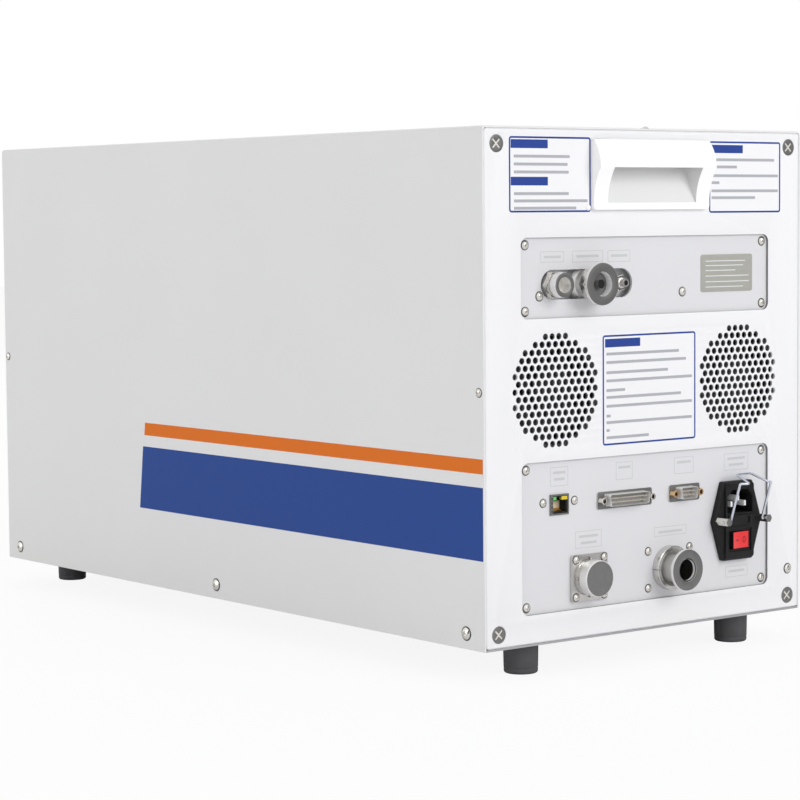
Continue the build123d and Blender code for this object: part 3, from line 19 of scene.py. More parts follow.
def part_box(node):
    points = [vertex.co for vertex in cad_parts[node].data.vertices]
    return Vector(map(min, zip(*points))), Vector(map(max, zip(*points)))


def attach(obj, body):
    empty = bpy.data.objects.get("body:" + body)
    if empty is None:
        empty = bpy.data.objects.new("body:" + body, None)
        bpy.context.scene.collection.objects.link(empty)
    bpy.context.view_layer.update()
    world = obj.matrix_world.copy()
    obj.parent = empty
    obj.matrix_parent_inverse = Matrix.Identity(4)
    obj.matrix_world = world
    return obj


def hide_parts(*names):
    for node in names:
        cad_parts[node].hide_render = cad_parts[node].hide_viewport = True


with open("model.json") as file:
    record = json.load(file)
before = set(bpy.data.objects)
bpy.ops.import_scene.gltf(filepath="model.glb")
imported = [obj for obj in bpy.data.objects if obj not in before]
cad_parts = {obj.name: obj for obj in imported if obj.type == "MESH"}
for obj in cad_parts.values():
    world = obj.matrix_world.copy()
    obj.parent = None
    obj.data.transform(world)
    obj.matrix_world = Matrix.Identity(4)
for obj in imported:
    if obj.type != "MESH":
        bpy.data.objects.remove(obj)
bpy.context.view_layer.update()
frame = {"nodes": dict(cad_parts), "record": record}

# %% [markdown]
# ## One way to name a place
# All drawings of a panel give a place as: across, height above the case
# floor, and how far it stands out of the panel. A stand is a matrix that
# turns such millimetres into metres of the scene. Its x runs across, its y
# runs up and its z points out of the surface, so the same code can make a
# screw on the panel, on a side wall or on the roof.

# %% Stands
MM = 0.001
CASE_WIDTH, CASE_HEIGHT, CASE_DEPTH = 310, 360, 660
FOOT_HEIGHT = 22
FACE_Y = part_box("connector_panel")[0][1] / MM


def stand(origin, across, up):
    """Matrix from millimetres on a surface to metres in the scene."""
    across, up = Vector(across), Vector(up)
    out = across.cross(up)
    turn = Matrix((across, up, out)).transposed().to_4x4()
    return Matrix.Translation(Vector(origin) * MM) @ turn @ Matrix.Scale(MM, 4)


def on_panel(x=0, height=0, out=0):
    """A stand on the connector panel."""
    return stand((x, FACE_Y - out, FOOT_HEIGHT + height), (1, 0, 0), (0, 0, 1))


def on_far_panel(x=0, height=0, out=0):
    """A stand on the intake panel, at the other end."""
    return stand((-x, FACE_Y + CASE_DEPTH + out, FOOT_HEIGHT + height), (-1, 0, 0), (0, 0, 1))


def on_side(hand, depth, height):
    """A stand on a side wall; hand is -1 on the left and 1 on the right."""
    return stand((hand * CASE_WIDTH / 2, FACE_Y + depth, FOOT_HEIGHT + height), (0, hand, 0), (0, 0, 1))


def on_roof(x, depth):
    """A stand on the top of the case."""
    return stand((x, FACE_Y + depth, FOOT_HEIGHT + CASE_HEIGHT), (1, 0, 0), (0, 1, 0))


def on_bench(x, depth):
    """A stand on the bench under the case."""
    return stand((x, FACE_Y + depth, 0), (1, 0, 0), (0, 1, 0))


print("panel face at y =", round(FACE_Y, 2), "mm")

# %% [markdown]
# ## The camera
# A long lens from the front left keeps the upright edges nearly parallel,
# as in catalogue pictures. A camera can be aimed with a Track To constraint
# or by hand; here its matrix is built from a heading, a dip and a slight
# roll, which says exactly where it looks and needs no helper object.

# %% Camera
PICTURE_SIDE = 800              # pixels
FOCAL_PIXELS = 2549.85          # focal length, in pixels of that picture
SENSOR = 36                     # mm
EYE = (-1261.7, -1331.03, 321.45)   # across, out from the panel face, above the bench
heading, dip, lean = radians(37.861), radians(4.135), radians(0.475)
ahead = Vector((sin(heading) * cos(dip), cos(heading) * cos(dip), -sin(dip)))
right = Vector((cos(heading), -sin(heading), 0))
down = ahead.cross(right)
right, down = (
    right * cos(lean) + down * sin(lean),
    down * cos(lean) - right * sin(lean),
)
camera = bpy.data.objects.new("camera", bpy.data.cameras.new("camera"))
bpy.context.collection.objects.link(camera)
camera.data.sensor_width = SENSOR
camera.data.lens = FOCAL_PIXELS / PICTURE_SIDE * SENSOR
camera.data.clip_end = 60
eye = Vector((EYE[0], FACE_Y + EYE[1], EYE[2])) * MM
camera.matrix_world = Matrix.Translation(eye) @ Matrix((right, -down, -ahead)).transposed().to_4x4()
bpy.context.scene.camera = camera
print("lens", round(camera.data.lens, 1), "mm")

# %% [markdown]
# ## Shader sums as plain Python
# A material is a graph of nodes, and graphs of sums are hard to read. The
# small class below wraps one socket and overloads + - * / and the
# comparisons, with their reflected forms, so a mask can be written as
# 1 - edge * 0.5 and the Math nodes appear by themselves. Every other node
# comes from one method, which takes the node's settings first.


# %% The reading and the finish
class Reading:
    """One socket of a graph, used in sums as if it were a number."""

    def __init__(self, graph, socket):
        self.graph, self.socket = graph, socket

    def sum(self, operation, first, second):
        return self.graph.node("ShaderNodeMath", {"operation": operation}, {0: first, 1: second})

    def __add__(self, other):
        return self.sum("ADD", self, other)

    def __sub__(self, other):
        return self.sum("SUBTRACT", self, other)

    def __rsub__(self, other):
        return self.sum("SUBTRACT", other, self)

    def __mul__(self, other):
        return self.sum("MULTIPLY", self, other)

    def __truediv__(self, other):
        return self.sum("DIVIDE", self, other)

    def __gt__(self, other):
        return self.sum("GREATER_THAN", self, other)

    def __lt__(self, other):
        return self.sum("LESS_THAN", self, other)

    __radd__, __rmul__ = __add__, __mul__


class Graph:
    """The nodes of a material or of the room."""

    def __init__(self, tree):
        self.tree = tree

    def node(self, kind, settings, sockets, output=0):
        """Any node: its settings are set first, then its sockets."""
        made = self.tree.nodes.new(kind)
        for word, value in settings.items():
            if word == "stops":
                for stop, (place, colour) in zip(made.color_ramp.elements, value):
                    stop.position, stop.color = place, colour
            else:
                setattr(made, word, value)
        for word, value in sockets.items():
            self.feed(made.inputs[word], value)
        return Reading(self, made.outputs[output])

    def feed(self, socket, value):
        """Link a reading, or set a plain value."""
        if isinstance(value, Reading):
            self.tree.links.new(value.socket, socket)
        else:
            socket.default_value = value


class Finish(Graph):
    """A material while it is being mixed."""

    def __init__(self, name, **constants):
        self.material = bpy.data.materials.new(name)
        self.material.use_nodes = True
        super().__init__(self.material.node_tree)
        self.surface = self.tree.nodes["Principled BSDF"]
        for word, value in constants.items():
            self.surface.inputs[word.replace("_", " ")].default_value = value
        here = self.node("ShaderNodeTexCoord", {}, {}, "Object")
        self.mm = self.node("ShaderNodeVectorMath", {"operation": "SCALE"}, {0: here, "Scale": 1000.0})

    def put(self, word, value):
        """Give one input of the surface a reading."""
        self.feed(self.surface.inputs[word], value)

    def along(self, axis):
        """X, Y or Z of the point, in millimetres."""
        return self.node("ShaderNodeSeparateXYZ", {}, {0: self.mm}, axis)

    def grain(self, size, detail=2.0, stretch=None):
        """Noise whose lumps are about `size` mm, from 0 to 1."""
        place = self.mm
        if stretch:
            place = self.node("ShaderNodeVectorMath", {"operation": "MULTIPLY"}, {0: place, 1: stretch})
        return self.node(
            "ShaderNodeTexNoise", {}, {"Vector": place, "Scale": 1.0 / size, "Detail": detail}
        )

    def blend(self, mask, under, over):
        """A colour that goes from one to the other with the mask."""
        return self.node("ShaderNodeMix", {"data_type": "RGBA"}, {0: mask, 6: under, 7: over}, 2)

    def bump(self, height, distance, strength=1.0):
        """Relief: `distance` is what a height of 1 stands for, in mm."""
        relief = self.node(
            "ShaderNodeBump", {}, {"Strength": strength, "Distance": distance * MM, "Height": height}
        )
        self.put("Normal", relief)


def rgb(red, green, blue):
    """A screen colour, 0 to 255, as the linear values that shaders use."""
    linear = [((v / 255 + 0.055) / 1.055) ** 2.4 if v > 10 else v / 255 / 12.92 for v in (red, green, blue)]
    return (*linear, 1.0)


print("white 240 is", [round(v, 3) for v in rgb(240, 240, 240)[:3]])

# %% [markdown]
# ## Bench, backdrop and light
# The case stands on a white bench in a white room. Pale enamel shows its
# shape only by small steps of grey, so the light is broad and soft: a large
# lamp at the front, and a weaker wide one from the left. The lamps could be
# made stronger to burn the background white, but that would bleach the
# enamel too. So the white comes from Light Path: rays from the camera, and
# mirror rays, see plain white, and the lamps stay moderate. Bright metal in
# an all-white room looks like paint, so two grey cards stand beside the
# camera's path. Only mirror rays see them, and they darken flat faces while
# rims stay bright.

# %% Room
ROOM_LIGHT, BENCH_GLOW = 0.58, 0.9
room = bpy.data.worlds.new("room")
bpy.context.scene.world = room
room.use_nodes = True
air = Graph(room.node_tree)
straight = air.node("ShaderNodeLightPath", {}, {}, "Is Camera Ray")
mirrored = air.node("ShaderNodeLightPath", {}, {}, "Is Glossy Ray")
through = air.node("ShaderNodeLightPath", {}, {}, "Is Transmission Ray")
background = air.tree.nodes["Background"]
background.inputs["Color"].default_value = (1, 1, 1, 1)
air.feed(
    background.inputs["Strength"],
    air.node(
        "ShaderNodeMapRange", {},
        {"Value": straight + mirrored + through, "To Min": ROOM_LIGHT, "To Max": 1.0}
    ),
)


def stage_sheet(name, corners):
    """A flat sheet that isn't part of the object."""
    mesh = bpy.data.meshes.new(name)
    mesh.from_pydata(corners, [], [(0, 1, 2, 3)])
    sheet = bpy.data.objects.new(name, mesh)
    bpy.context.collection.objects.link(sheet)
    return sheet


def glowing(name, share, strength, **constants):
    """A finish that mixes its own light with what falls on it."""
    finish = Finish(name, **constants)
    light = finish.node("ShaderNodeEmission", {}, {"Color": (1, 1, 1, 1), "Strength": strength})
    seen = finish.node("ShaderNodeLightPath", {}, {}, "Is Camera Ray") * share if share < 1 else 1.0
    lit = Reading(finish, finish.surface.outputs[0])
    mixed = finish.node("ShaderNodeMixShader", {}, {0: seen, 1: lit, 2: light})
    finish.feed(finish.tree.nodes["Material Output"].inputs["Surface"], mixed)
    return finish


bench = stage_sheet("bench", [(-9, -9, 0), (9, -9, 0), (9, 9, 0), (-9, 9, 0)])
bench_white = glowing("bench_white", BENCH_GLOW, 1.0, Base_Color=rgb(244, 244, 246), Roughness=0.75)
bench.data.materials.append(bench_white.material)


def lamp(name, place, aim, size, watts):
    """A soft square lamp at `place`, pointing at `aim`, all in metres."""
    light = bpy.data.lights.new(name, "AREA")
    light.shape, light.size, light.energy = "SQUARE", size, watts
    made = bpy.data.objects.new(name, light)
    bpy.context.collection.objects.link(made)
    made.location = place
    made.rotation_euler = (Vector(aim) - Vector(place)).to_track_quat("-Z", "Y").to_euler()
    return made


def card(name, foot, heading_deg, width, height, grey):
    """A grey card that only mirror-bright surfaces see."""
    x, y, z = foot
    dx, dy = cos(radians(heading_deg)) * width / 2, sin(radians(heading_deg)) * width / 2
    low, high = z, z + height
    sheet = stage_sheet(
        name,
        [(x - dx, y - dy, low), (x + dx, y + dy, low), (x + dx, y + dy, high), (x - dx, y - dy, high)],
    )
    sheet.data.materials.append(glowing(name, 1, grey).material)
    sheet.visible_camera = sheet.visible_diffuse = sheet.visible_shadow = sheet.visible_transmission = False
    return sheet


lamp("front_lamp", (0.6, -2.6, 1.25), (0, -0.3, 0.12), 1.6, 30)
lamp("left_lamp", (-2.8, 0.1, 1.15), (-0.1, 0, 0.15), 2.0, 18.5)
lamp("back_lamp", (1.2, 2.6, 2.4), (0, 0.3, 0.2), 2.2, 20)
card("right_card", (0.38, -0.81, 0.001), 38, 0.8, 0.62, 0.13)
card("left_card", (-1.0, -0.6, 0.001), 90, 0.35, 0.8, 0.05)

# %% [markdown]
# ## Mesh tools
# Most parts here are turned on a lathe or cut from bar and sheet. Blender
# could make them from primitives with Boolean modifiers, but Booleans leave
# ragged faces on thin metal. The tools below write the vertices directly:
# one spins a profile, one pushes an outline up, one joins rings of points.
# A Bevel modifier then breaks the sharp edges, as a deburring tool does.


# %% Rings, spins and prisms
def join(bm, low, high):
    """Faces between two rings; a ring of one vertex is a point."""
    count = max(len(low), len(high))
    for n in range(count):
        corners = [
            low[n % len(low)], low[(n + 1) % len(low)], high[(n + 1) % len(high)],
            high[n % len(high)],
        ]
        distinct = list(dict.fromkeys(corners))
        if len(distinct) > 2:
            bm.faces.new(distinct)


def spin(bm, place, profile, steps=64, loop=False):
    """Spin (radius, out) points about a stand's own z."""
    rings = []
    for radius, out in profile:
        turns = steps if radius > 1e-6 else 1
        angles = [2 * pi * n / steps for n in range(turns)]
        rings.append([
            bm.verts.new(place @ Vector((radius * cos(a), radius * sin(a), out))) for a in angles
        ])
    for low, high in zip(rings, rings[1:] + rings[:1] if loop else rings[1:]):
        join(bm, low, high)
    return rings


def loft(bm, place, outlines, capped=True):
    """Join outlines, each a list of (x, y, out) with as many points."""
    rings = [[bm.verts.new(place @ Vector(p)) for p in outline] for outline in outlines]
    for low, high in zip(rings, rings[1:]):
        join(bm, low, high)
    if capped:
        bm.faces.new(rings[0])
        bm.faces.new(rings[-1])
    return rings


def prism(bm, place, outline, low, high):
    """Push a flat outline of (x, y) points from `low` out to `high`."""
    return loft(bm, place, [[(x, y, out) for x, y in outline] for out in (low, high)])


def hexagon(across_flats, turn=0.0, centre=(0, 0)):
    """Corner points of a hexagon."""
    radius = across_flats / sqrt(3)
    return [
        (centre[0] + radius * cos(turn + n * pi / 3), centre[1] + radius * sin(turn + n * pi / 3))
        for n in range(6)
    ]


def rounded(width, height, radius, centre=(0, 0), steps=6):
    """Outline of a rectangle with round corners, anticlockwise."""
    points = []
    for quarter, (sx, sy) in enumerate(((1, 1), (-1, 1), (-1, -1), (1, -1))):
        cx = centre[0] + sx * (width / 2 - radius)
        cy = centre[1] + sy * (height / 2 - radius)
        for n in range(steps + 1):
            a = (quarter + n / steps) * pi / 2
            points.append((cx + radius * cos(a), cy + radius * sin(a)))
    return points


def ring_of(radius, steps=24, centre=(0, 0)):
    """Points round a circle."""
    return [
        (centre[0] + radius * cos(2 * pi * n / steps), centre[1] + radius * sin(2 * pi * n / steps))
        for n in range(steps)
    ]


def piece(name, bm, finish, body="instrument", replaces=(), edge=None, angle=35, steps=2):
    """Turn a bmesh into a finished object that rides on a body."""
    bmesh.ops.remove_doubles(bm, verts=bm.verts, dist=1e-6)
    bmesh.ops.recalc_face_normals(bm, faces=bm.faces)
    mesh = bpy.data.meshes.new(name)
    bm.to_mesh(mesh)
    bm.free()
    made = bpy.data.objects.new(name, mesh)
    bpy.context.collection.objects.link(made)
    return dress(made, finish, body, replaces, edge, angle, steps)


def dress(made, finish, body="instrument", replaces=(), edge=None, angle=35, steps=2):
    """Smooth, deburr and paint an object, and let it ride on its body."""
    finishes = finish if isinstance(finish, (list, tuple)) else [finish]
    for one in finishes:
        made.data.materials.append(one.material)
    for face in made.data.polygons:
        face.use_smooth = True
    made.data.set_sharp_from_angle(angle=radians(angle))
    if edge:
        cut = made.modifiers.new("deburr", "BEVEL")
        cut.width, cut.segments, cut.limit_method = edge * MM, steps, "ANGLE"
        cut.angle_limit, cut.harden_normals = radians(angle), True
        cut.use_clamp_overlap = True
    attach(made, body)
    if replaces:
        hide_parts(*replaces)
    return made


def refined(node, finish, body="instrument", edge=0.25, angle=35, steps=2):
    """A copy of a CAD node with its seams welded, its flats cleaned and its edges broken."""
    bm = bmesh.new()
    bm.from_mesh(frame["nodes"][node].data)
    bmesh.ops.remove_doubles(bm, verts=bm.verts, dist=1e-6)
    bmesh.ops.dissolve_limit(bm, angle_limit=radians(0.5), verts=bm.verts, edges=bm.edges)
    return piece(node + "_shaped", bm, finish, body, [node], edge, angle, steps)


print("mesh tools ready")

# %% [markdown]
# ## Sheet metal with punched holes
# A panel with hundreds of vents could be cut with a Boolean per hole, which
# is slow and fragile. A flat curve does it in one step: Blender fills the
# space between its outer outline and its inner ones, gives it a thickness
# and rounds every rim. The result is then baked down to a mesh.


# %% Punched sheet
def punched(bm, place, outlines, back, front, rim=0.15):
    """Fill closed outlines, the first outside and the rest holes, as a sheet."""
    drawn = bpy.data.curves.new("outline", "CURVE")
    drawn.dimensions, drawn.fill_mode = "2D", "BOTH"
    drawn.extrude = (front - back) / 2 - rim
    drawn.bevel_depth, drawn.bevel_resolution, drawn.offset = rim, 1, -rim
    for outline in outlines:
        spline = drawn.splines.new("POLY")
        spline.points.add(len(outline) - 1)
        for point, (x, y) in zip(spline.points, outline):
            point.co = (x, y, 0, 1)
        spline.use_cyclic_u = True
    holder = bpy.data.objects.new("outline", drawn)
    bpy.context.collection.objects.link(holder)
    baked = bpy.data.meshes.new_from_object(holder.evaluated_get(bpy.context.evaluated_depsgraph_get()))
    baked.transform(place @ Matrix.Translation((0, 0, (front + back) / 2)))
    bm.from_mesh(baked)
    bpy.data.objects.remove(holder)
    bpy.data.meshes.remove(baked)
    bpy.data.curves.remove(drawn)


print("punched sheet ready")

# %% [markdown]
# ## Enamel on steel
# Powder coat is a paint baked from dust. Close up it has the skin of an
# orange, about a millimetre from lump to lump, and it is never one even
# grey: sheets differ a little, and hands and dust leave faint tones. A flat
# colour would look like plastic. Two noises drive the tone, a third the
# relief, and dust gathers towards the bench.


# %% Enamel
def enamel(name, colour, roughness, lump=1.1, relief=0.05, tone=0.03, grit=0.0):
    """Baked powder coat over sheet steel."""
    coat = Finish(name, Specular_IOR_Level=0.45)
    cloud = coat.grain(90, 3)
    fleck = coat.grain(0.7, 2)
    dust = coat.node(
        "ShaderNodeMapRange", {},
        {"Value": coat.along("Z"), "From Min": 22, "From Max": 75, "To Min": 1, "To Max": 0}
    )
    darker = tuple(c * (1 - 2 * tone) for c in colour[:3]) + (1,)
    warmer = (colour[0] * 0.93, colour[1] * 0.92, colour[2] * 0.88, 1)
    base = coat.blend(cloud * 0.7 + fleck * (0.3 + grit), colour, darker)
    coat.put("Base Color", coat.blend(dust * cloud * 0.5, base, warmer))
    coat.put("Roughness", roughness - cloud * 0.08 + fleck * 0.06)
    coat.bump(coat.grain(lump, 2) + fleck * (0.25 + grit), relief)
    return coat


case_enamel = enamel("case_enamel", rgb(231, 231, 231), 0.55)
panel_enamel = enamel("panel_enamel", rgb(241, 241, 243), 0.52)
# Painted shade: this grey goes on the walls of the panel's openings and vents.
opening_wall_painted_shade = enamel("opening_wall_painted_shade", rgb(132, 132, 134), 0.6)
plate_enamel = enamel("plate_enamel", rgb(223, 223, 226), 0.58, lump=0.5, relief=0.07, grit=0.25)
print("enamels:", case_enamel.material.name, panel_enamel.material.name, plate_enamel.material.name)

# %% [markdown]
# ## Metals
# Three kinds of bright metal meet on the panel. Screws and shells are
# plated and nearly mirror-like, with faint polishing marks. Flanges are
# turned, so fine rings run round their axis; the rings are a noise that is
# stretched flat along the radius. Bar and wire are zinc plated and cloudy.


# %% Plated, turned and zinc finishes
def plated(name, colour, roughness, marks=0.08, metallic=1.0):
    """Electroplated metal with faint wear."""
    metal = Finish(name, Metallic=metallic)
    smudge = metal.grain(6, 3)
    metal.put("Base Color", metal.blend(smudge * 0.6, colour, tuple(c * 0.8 for c in colour[:3]) + (1,)))
    metal.put("Roughness", roughness + smudge * marks + metal.grain(0.4, 1) * 0.05)
    metal.bump(metal.grain(0.8, 2), 0.01)
    return metal


def turned(name, colour, centre, roughness=0.24, metallic=1.0):
    """Lathe-turned metal: rings about an axis along Y at (x, height)."""
    metal = Finish(name, Metallic=metallic)
    dx = metal.along("X") - centre[0]
    dz = metal.along("Z") - (FOOT_HEIGHT + centre[1])
    radius = metal.node("ShaderNodeMath", {"operation": "SQRT"}, {0: dx * dx + dz * dz})
    lathe = metal.node("ShaderNodeCombineXYZ", {}, {0: radius, 1: metal.along("Y")})
    rings = metal.node("ShaderNodeTexNoise", {}, {"Vector": lathe, "Scale": 4.5, "Detail": 2.0})
    smudge = metal.grain(5, 2)
    metal.put(
        "Base Color",
        metal.blend(smudge * 0.5 + rings * 0.3, colour, tuple(c * 0.72 for c in colour[:3]) + (1,)),
    )
    metal.put("Roughness", rings * 0.1 + roughness + smudge * 0.06)
    metal.bump(rings, 0.02)
    return metal


bright_nickel = plated("bright_nickel", rgb(232, 229, 222), 0.1)
shell_nickel = plated("shell_nickel", rgb(212, 212, 214), 0.12)
blade_nickel = plated("blade_nickel", rgb(250, 250, 250), 0.4, metallic=0.0)
cross_nickel = plated("cross_nickel", rgb(236, 232, 222), 0.4, metallic=0.2)
pin_nickel = plated("pin_nickel", rgb(246, 240, 230), 0.3, metallic=0.3)
satin_nickel = plated("satin_nickel", rgb(240, 239, 237), 0.25, metallic=0.45)
# Dull grey nickel: the own colour of the jack shell and the dark corner screws, and a painted dark
# reflection on the flat faces of the D shells and the bail posts.
dull_nickel_and_painted_reflection = plated("dull_nickel_and_painted_reflection", rgb(124, 124, 123), 0.35, metallic=0.5)
wire_steel = plated("wire_steel", rgb(222, 226, 238), 0.14)
zinc = plated("zinc", rgb(198, 198, 200), 0.3, marks=0.2)
# Dark steel: the own colour of dark screws, and a painted contact shadow round the button heads.
dark_steel_and_painted_shade = plated("dark_steel_and_painted_shade", rgb(104, 104, 103), 0.4)
warm_brass = plated("warm_brass", rgb(222, 190, 150), 0.22)
contact_gold = plated("contact_gold", rgb(232, 200, 128), 0.2)
milled = plated("milled_aluminium", rgb(236, 237, 240), 0.5, marks=0.12, metallic=0.1)
print("metals:", [m.name for m in bpy.data.materials if "nickel" in m.name])

# %% [markdown]
# ## Mouldings
# Moulded plastic copies the skin of its tool: a fine etched grain on the
# black inlet, a polished one on the handle. Rubber is duller and greys
# where it is touched. One recipe serves them all, with the grain's size,
# its relief and the gloss as its numbers.


# %% Plastics, rubber, glass and board
def moulded(name, colour, roughness, grain=0.35, relief=0.015, bloom=0.1, **constants):
    """Moulded plastic or rubber with etched grain and a faint bloom."""
    skin = Finish(name, **constants)
    touch = skin.grain(9, 3)
    paler = tuple(c + (0.5 - c) * bloom for c in colour[:3]) + (1,)
    skin.put("Base Color", skin.blend(touch * 0.7, colour, paler))
    skin.put("Roughness", roughness + touch * 0.1 - skin.grain(grain, 1) * 0.05)
    skin.bump(skin.grain(grain, 2), relief)
    return skin


handle_white = moulded(
    "handle_white", rgb(252, 252, 252), 0.3, grain=2.0, relief=0.01, bloom=0.0, Coat_Weight=0.2,
)
inlet_black = moulded("inlet_black", rgb(24, 24, 25), 0.45, bloom=0.004, Specular_IOR_Level=0.25)
rocker_red = moulded(
    "rocker_red", rgb(232, 44, 48), 0.3, grain=1.2, relief=0.006, bloom=0.0, Coat_Weight=0.3,
)
foot_rubber = moulded("foot_rubber", rgb(66, 66, 68), 0.62, grain=0.8, relief=0.03, bloom=0.12)
fan_black = moulded("fan_black", rgb(58, 58, 60), 0.5, bloom=0.05)
# Black plastic: the own colour of the jack's insert, and painted shade in the dark holes and slits.
black_plastic_and_painted_shade = moulded("black_plastic_and_painted_shade", rgb(24, 24, 25), 0.5, bloom=0.004, Specular_IOR_Level=0.25)
insert_tan = moulded("insert_tan", rgb(246, 226, 188), 0.5, bloom=0.0)
insert_grey = moulded("insert_grey", rgb(150, 149, 147), 0.5, bloom=0.03)
# A greyer white for the handle's pocket: painted shade for the recess, with a rougher skin.
pocket_painted_shade = moulded("pocket_painted_shade", rgb(232, 232, 232), 0.6, grain=1.2, relief=0.03, bloom=0.0)
mark_dark = moulded("mark_dark", rgb(96, 20, 24), 0.5, bloom=0.0)
print_white = moulded("print_white", rgb(239, 239, 241), 0.5, bloom=0.0)
white_ceramic = moulded("white_ceramic", rgb(236, 232, 222), 0.3, bloom=0.02)
fuse_glass = moulded(
    "fuse_glass", rgb(225, 232, 232), 0.08, relief=0.002, bloom=0.0, Transmission_Weight=0.8,
    IOR=1.5,
)
board_green = moulded("board_green", rgb(28, 96, 60), 0.35, grain=3.0, relief=0.02, bloom=0.05)
lamp_green = moulded("lamp_green", rgb(96, 200, 96), 0.2, bloom=0.0, Coat_Weight=0.6)
lamp_yellow = moulded("lamp_yellow", rgb(226, 200, 60), 0.2, bloom=0.0, Coat_Weight=0.6)
print("mouldings:", sum(m.name.count("_") > 0 for m in bpy.data.materials))

# %% [markdown]
# ## The wrap cover
# One sheet is bent down both sides, with a small bend radius along the two
# top edges. A solidify modifier on a bent strip would do; drawing the
# section once and pulling it along the case gives the hem its own edge too.

# %% Cover
COVER_SHEET, BEND = 1.5, 3


def cover_section(inset, floor=0.0):
    """Left foot, over the top, to the right foot, `inset` mm inside the outer face."""
    half, top, radius = CASE_WIDTH / 2 - inset, CASE_HEIGHT - inset, BEND - inset
    arc = [(sin(n * pi / 16), cos(n * pi / 16)) for n in range(9)]
    right_side = [(half - radius + radius * s, top - radius + radius * c) for s, c in arc]
    left_side = [(-x, z) for x, z in reversed(right_side)]
    return [(-half, floor)] + left_side + right_side + [(half, floor)]


bm = bmesh.new()
section = cover_section(0) + list(reversed(cover_section(COVER_SHEET)))
loft(bm, on_panel(), [[(x, z, -y) for x, z in section] for y in (0, CASE_DEPTH)])
cover = piece("cover", bm, case_enamel, replaces=["wrap_cover"], edge=0.35, angle=50)
print(cover.name, len(cover.data.polygons), "faces")

# %% [markdown]
# ## Coloured bands
# Two printed films run along the left wall and end on a slant. They could
# be a mask in the enamel, which costs nothing but blurs when it is baked.
# Thin films with their own edge stay crisp at any distance.


# %% Films
def film(name, place, outline, finish, thick=0.09, low=0.0):
    """A thin printed film lying on a surface."""
    bm = bmesh.new()
    prism(bm, place, outline, low, low + thick)
    return piece(name, bm, finish)


band_orange = moulded(
    "band_orange", rgb(222, 112, 18), 0.6, grain=1.1, relief=0.03, bloom=0.0,
    Specular_IOR_Level=0.3,
)
band_blue = moulded(
    "band_blue", rgb(30, 68, 142), 0.6, grain=1.1, relief=0.03, bloom=0.0,
    Specular_IOR_Level=0.3,
)
left_wall = on_side(-1, 0, 0)
film(
    "band_upper", left_wall, [(-1.2, 122.8), (-432.5, 122.8), (-431.2, 133.0), (-1.2, 133.0)],
    band_orange,
)
film(
    "band_lower", left_wall, [(-1.2, 62.8), (-440.7, 62.8), (-434.7, 113.5), (-1.2, 113.5)],
    band_blue,
)

# %% [markdown]
# ## The two end panels
# Each end is closed by a shallow folded pan: a flat face, a small bend all
# round and a flange that goes inside the cover. The face is the punched
# sheet; the bend and flange are rings of a rounded rectangle that step
# back along a quarter circle. The connector end has the two fan grilles
# and two openings, the other end has rows of intake slots.

# %% End panels
PANEL_FOOT = COVER_SHEET + 0.1
INNER_WIDTH = CASE_WIDTH - 2 * PANEL_FOOT
PANEL_HEIGHT = CASE_HEIGHT - 2 * PANEL_FOOT
PANEL_SHEET, PANEL_BEND, PANEL_FLANGE = 2, 0.5, 14
OPENING_WIDTH, OPENING_CORNER = 242, 5.5
UPPER_OPENING, LOWER_OPENING = (227.6, 283.5), (21.7, 127.8)
GRILLE_X, GRILLE_Z = 89.6, 177.4
HANDLE_Z, HANDLE_HEIGHT, POCKET_WIDTH = 327.5, 50.4, 86
VENT_PITCH, VENT_RADIUS, VENT_REACH = 6.18, 2.25, 6.4
MIDDLE = (0, CASE_HEIGHT / 2)


def vent_spots():
    """Every place of the triangular lattice that lies inside the grille's circle."""
    row_pitch = VENT_PITCH * sqrt(3) / 2
    rows = int(VENT_REACH / (sqrt(3) / 2))
    places = [
        (VENT_PITCH * (column + (row % 2) / 2), row_pitch * row)
        for row in range(-rows, rows + 1)
        for column in range(-rows, rows + 1)
    ]
    return [p for p in places if hypot(*p) <= VENT_REACH * VENT_PITCH]


def pan_rim(bm, place):
    """The bend and the flange round a panel's face."""
    steps = [(PANEL_BEND * (1 - sin(n * pi / 12)), -PANEL_BEND * (1 - cos(n * pi / 12))) for n in range(7)]
    steps += [(0, -PANEL_FLANGE), (PANEL_SHEET, -PANEL_FLANGE), (PANEL_SHEET, -PANEL_SHEET)]
    outlines = []
    for inset, out in steps:
        outline = rounded(INNER_WIDTH - 2 * inset, PANEL_HEIGHT - 2 * inset, max(3 - inset, 0.5), MIDDLE)
        outlines.append([(x, y, out) for x, y in outline])
    loft(bm, place, outlines, capped=False)


def pan_face(holes):
    """Outer outline of a panel's flat, then its holes."""
    flat = rounded(INNER_WIDTH - 2 * PANEL_BEND, PANEL_HEIGHT - 2 * PANEL_BEND, 0.5, MIDDLE)
    pocket = rounded(POCKET_WIDTH + 5, HANDLE_HEIGHT - 5, 1, (0, HANDLE_Z))
    screws = [ring_of(6.1, 32, (x, z)) for x in (-142.3, 142.3) for z in (11, 347.9)]
    return [flat, pocket] + screws + holes


vents = [
    ring_of(VENT_RADIUS, 20, (side * GRILLE_X + x, GRILLE_Z + z)) for side in (-1, 1) for x,
    z in vent_spots()
]
windows = [
    rounded(OPENING_WIDTH, high - low, OPENING_CORNER, (0, (low + high) / 2), 10)
    for low, high in (UPPER_OPENING, LOWER_OPENING)
]
bm = bmesh.new()
punched(bm, on_panel(), pan_face(vents + windows), -PANEL_SHEET, 0, rim=0.3)
pan_rim(bm, on_panel())
front_panel = piece(
    "front_panel", bm, [panel_enamel, opening_wall_painted_shade], replaces=["connector_panel"],
    angle=30,
)
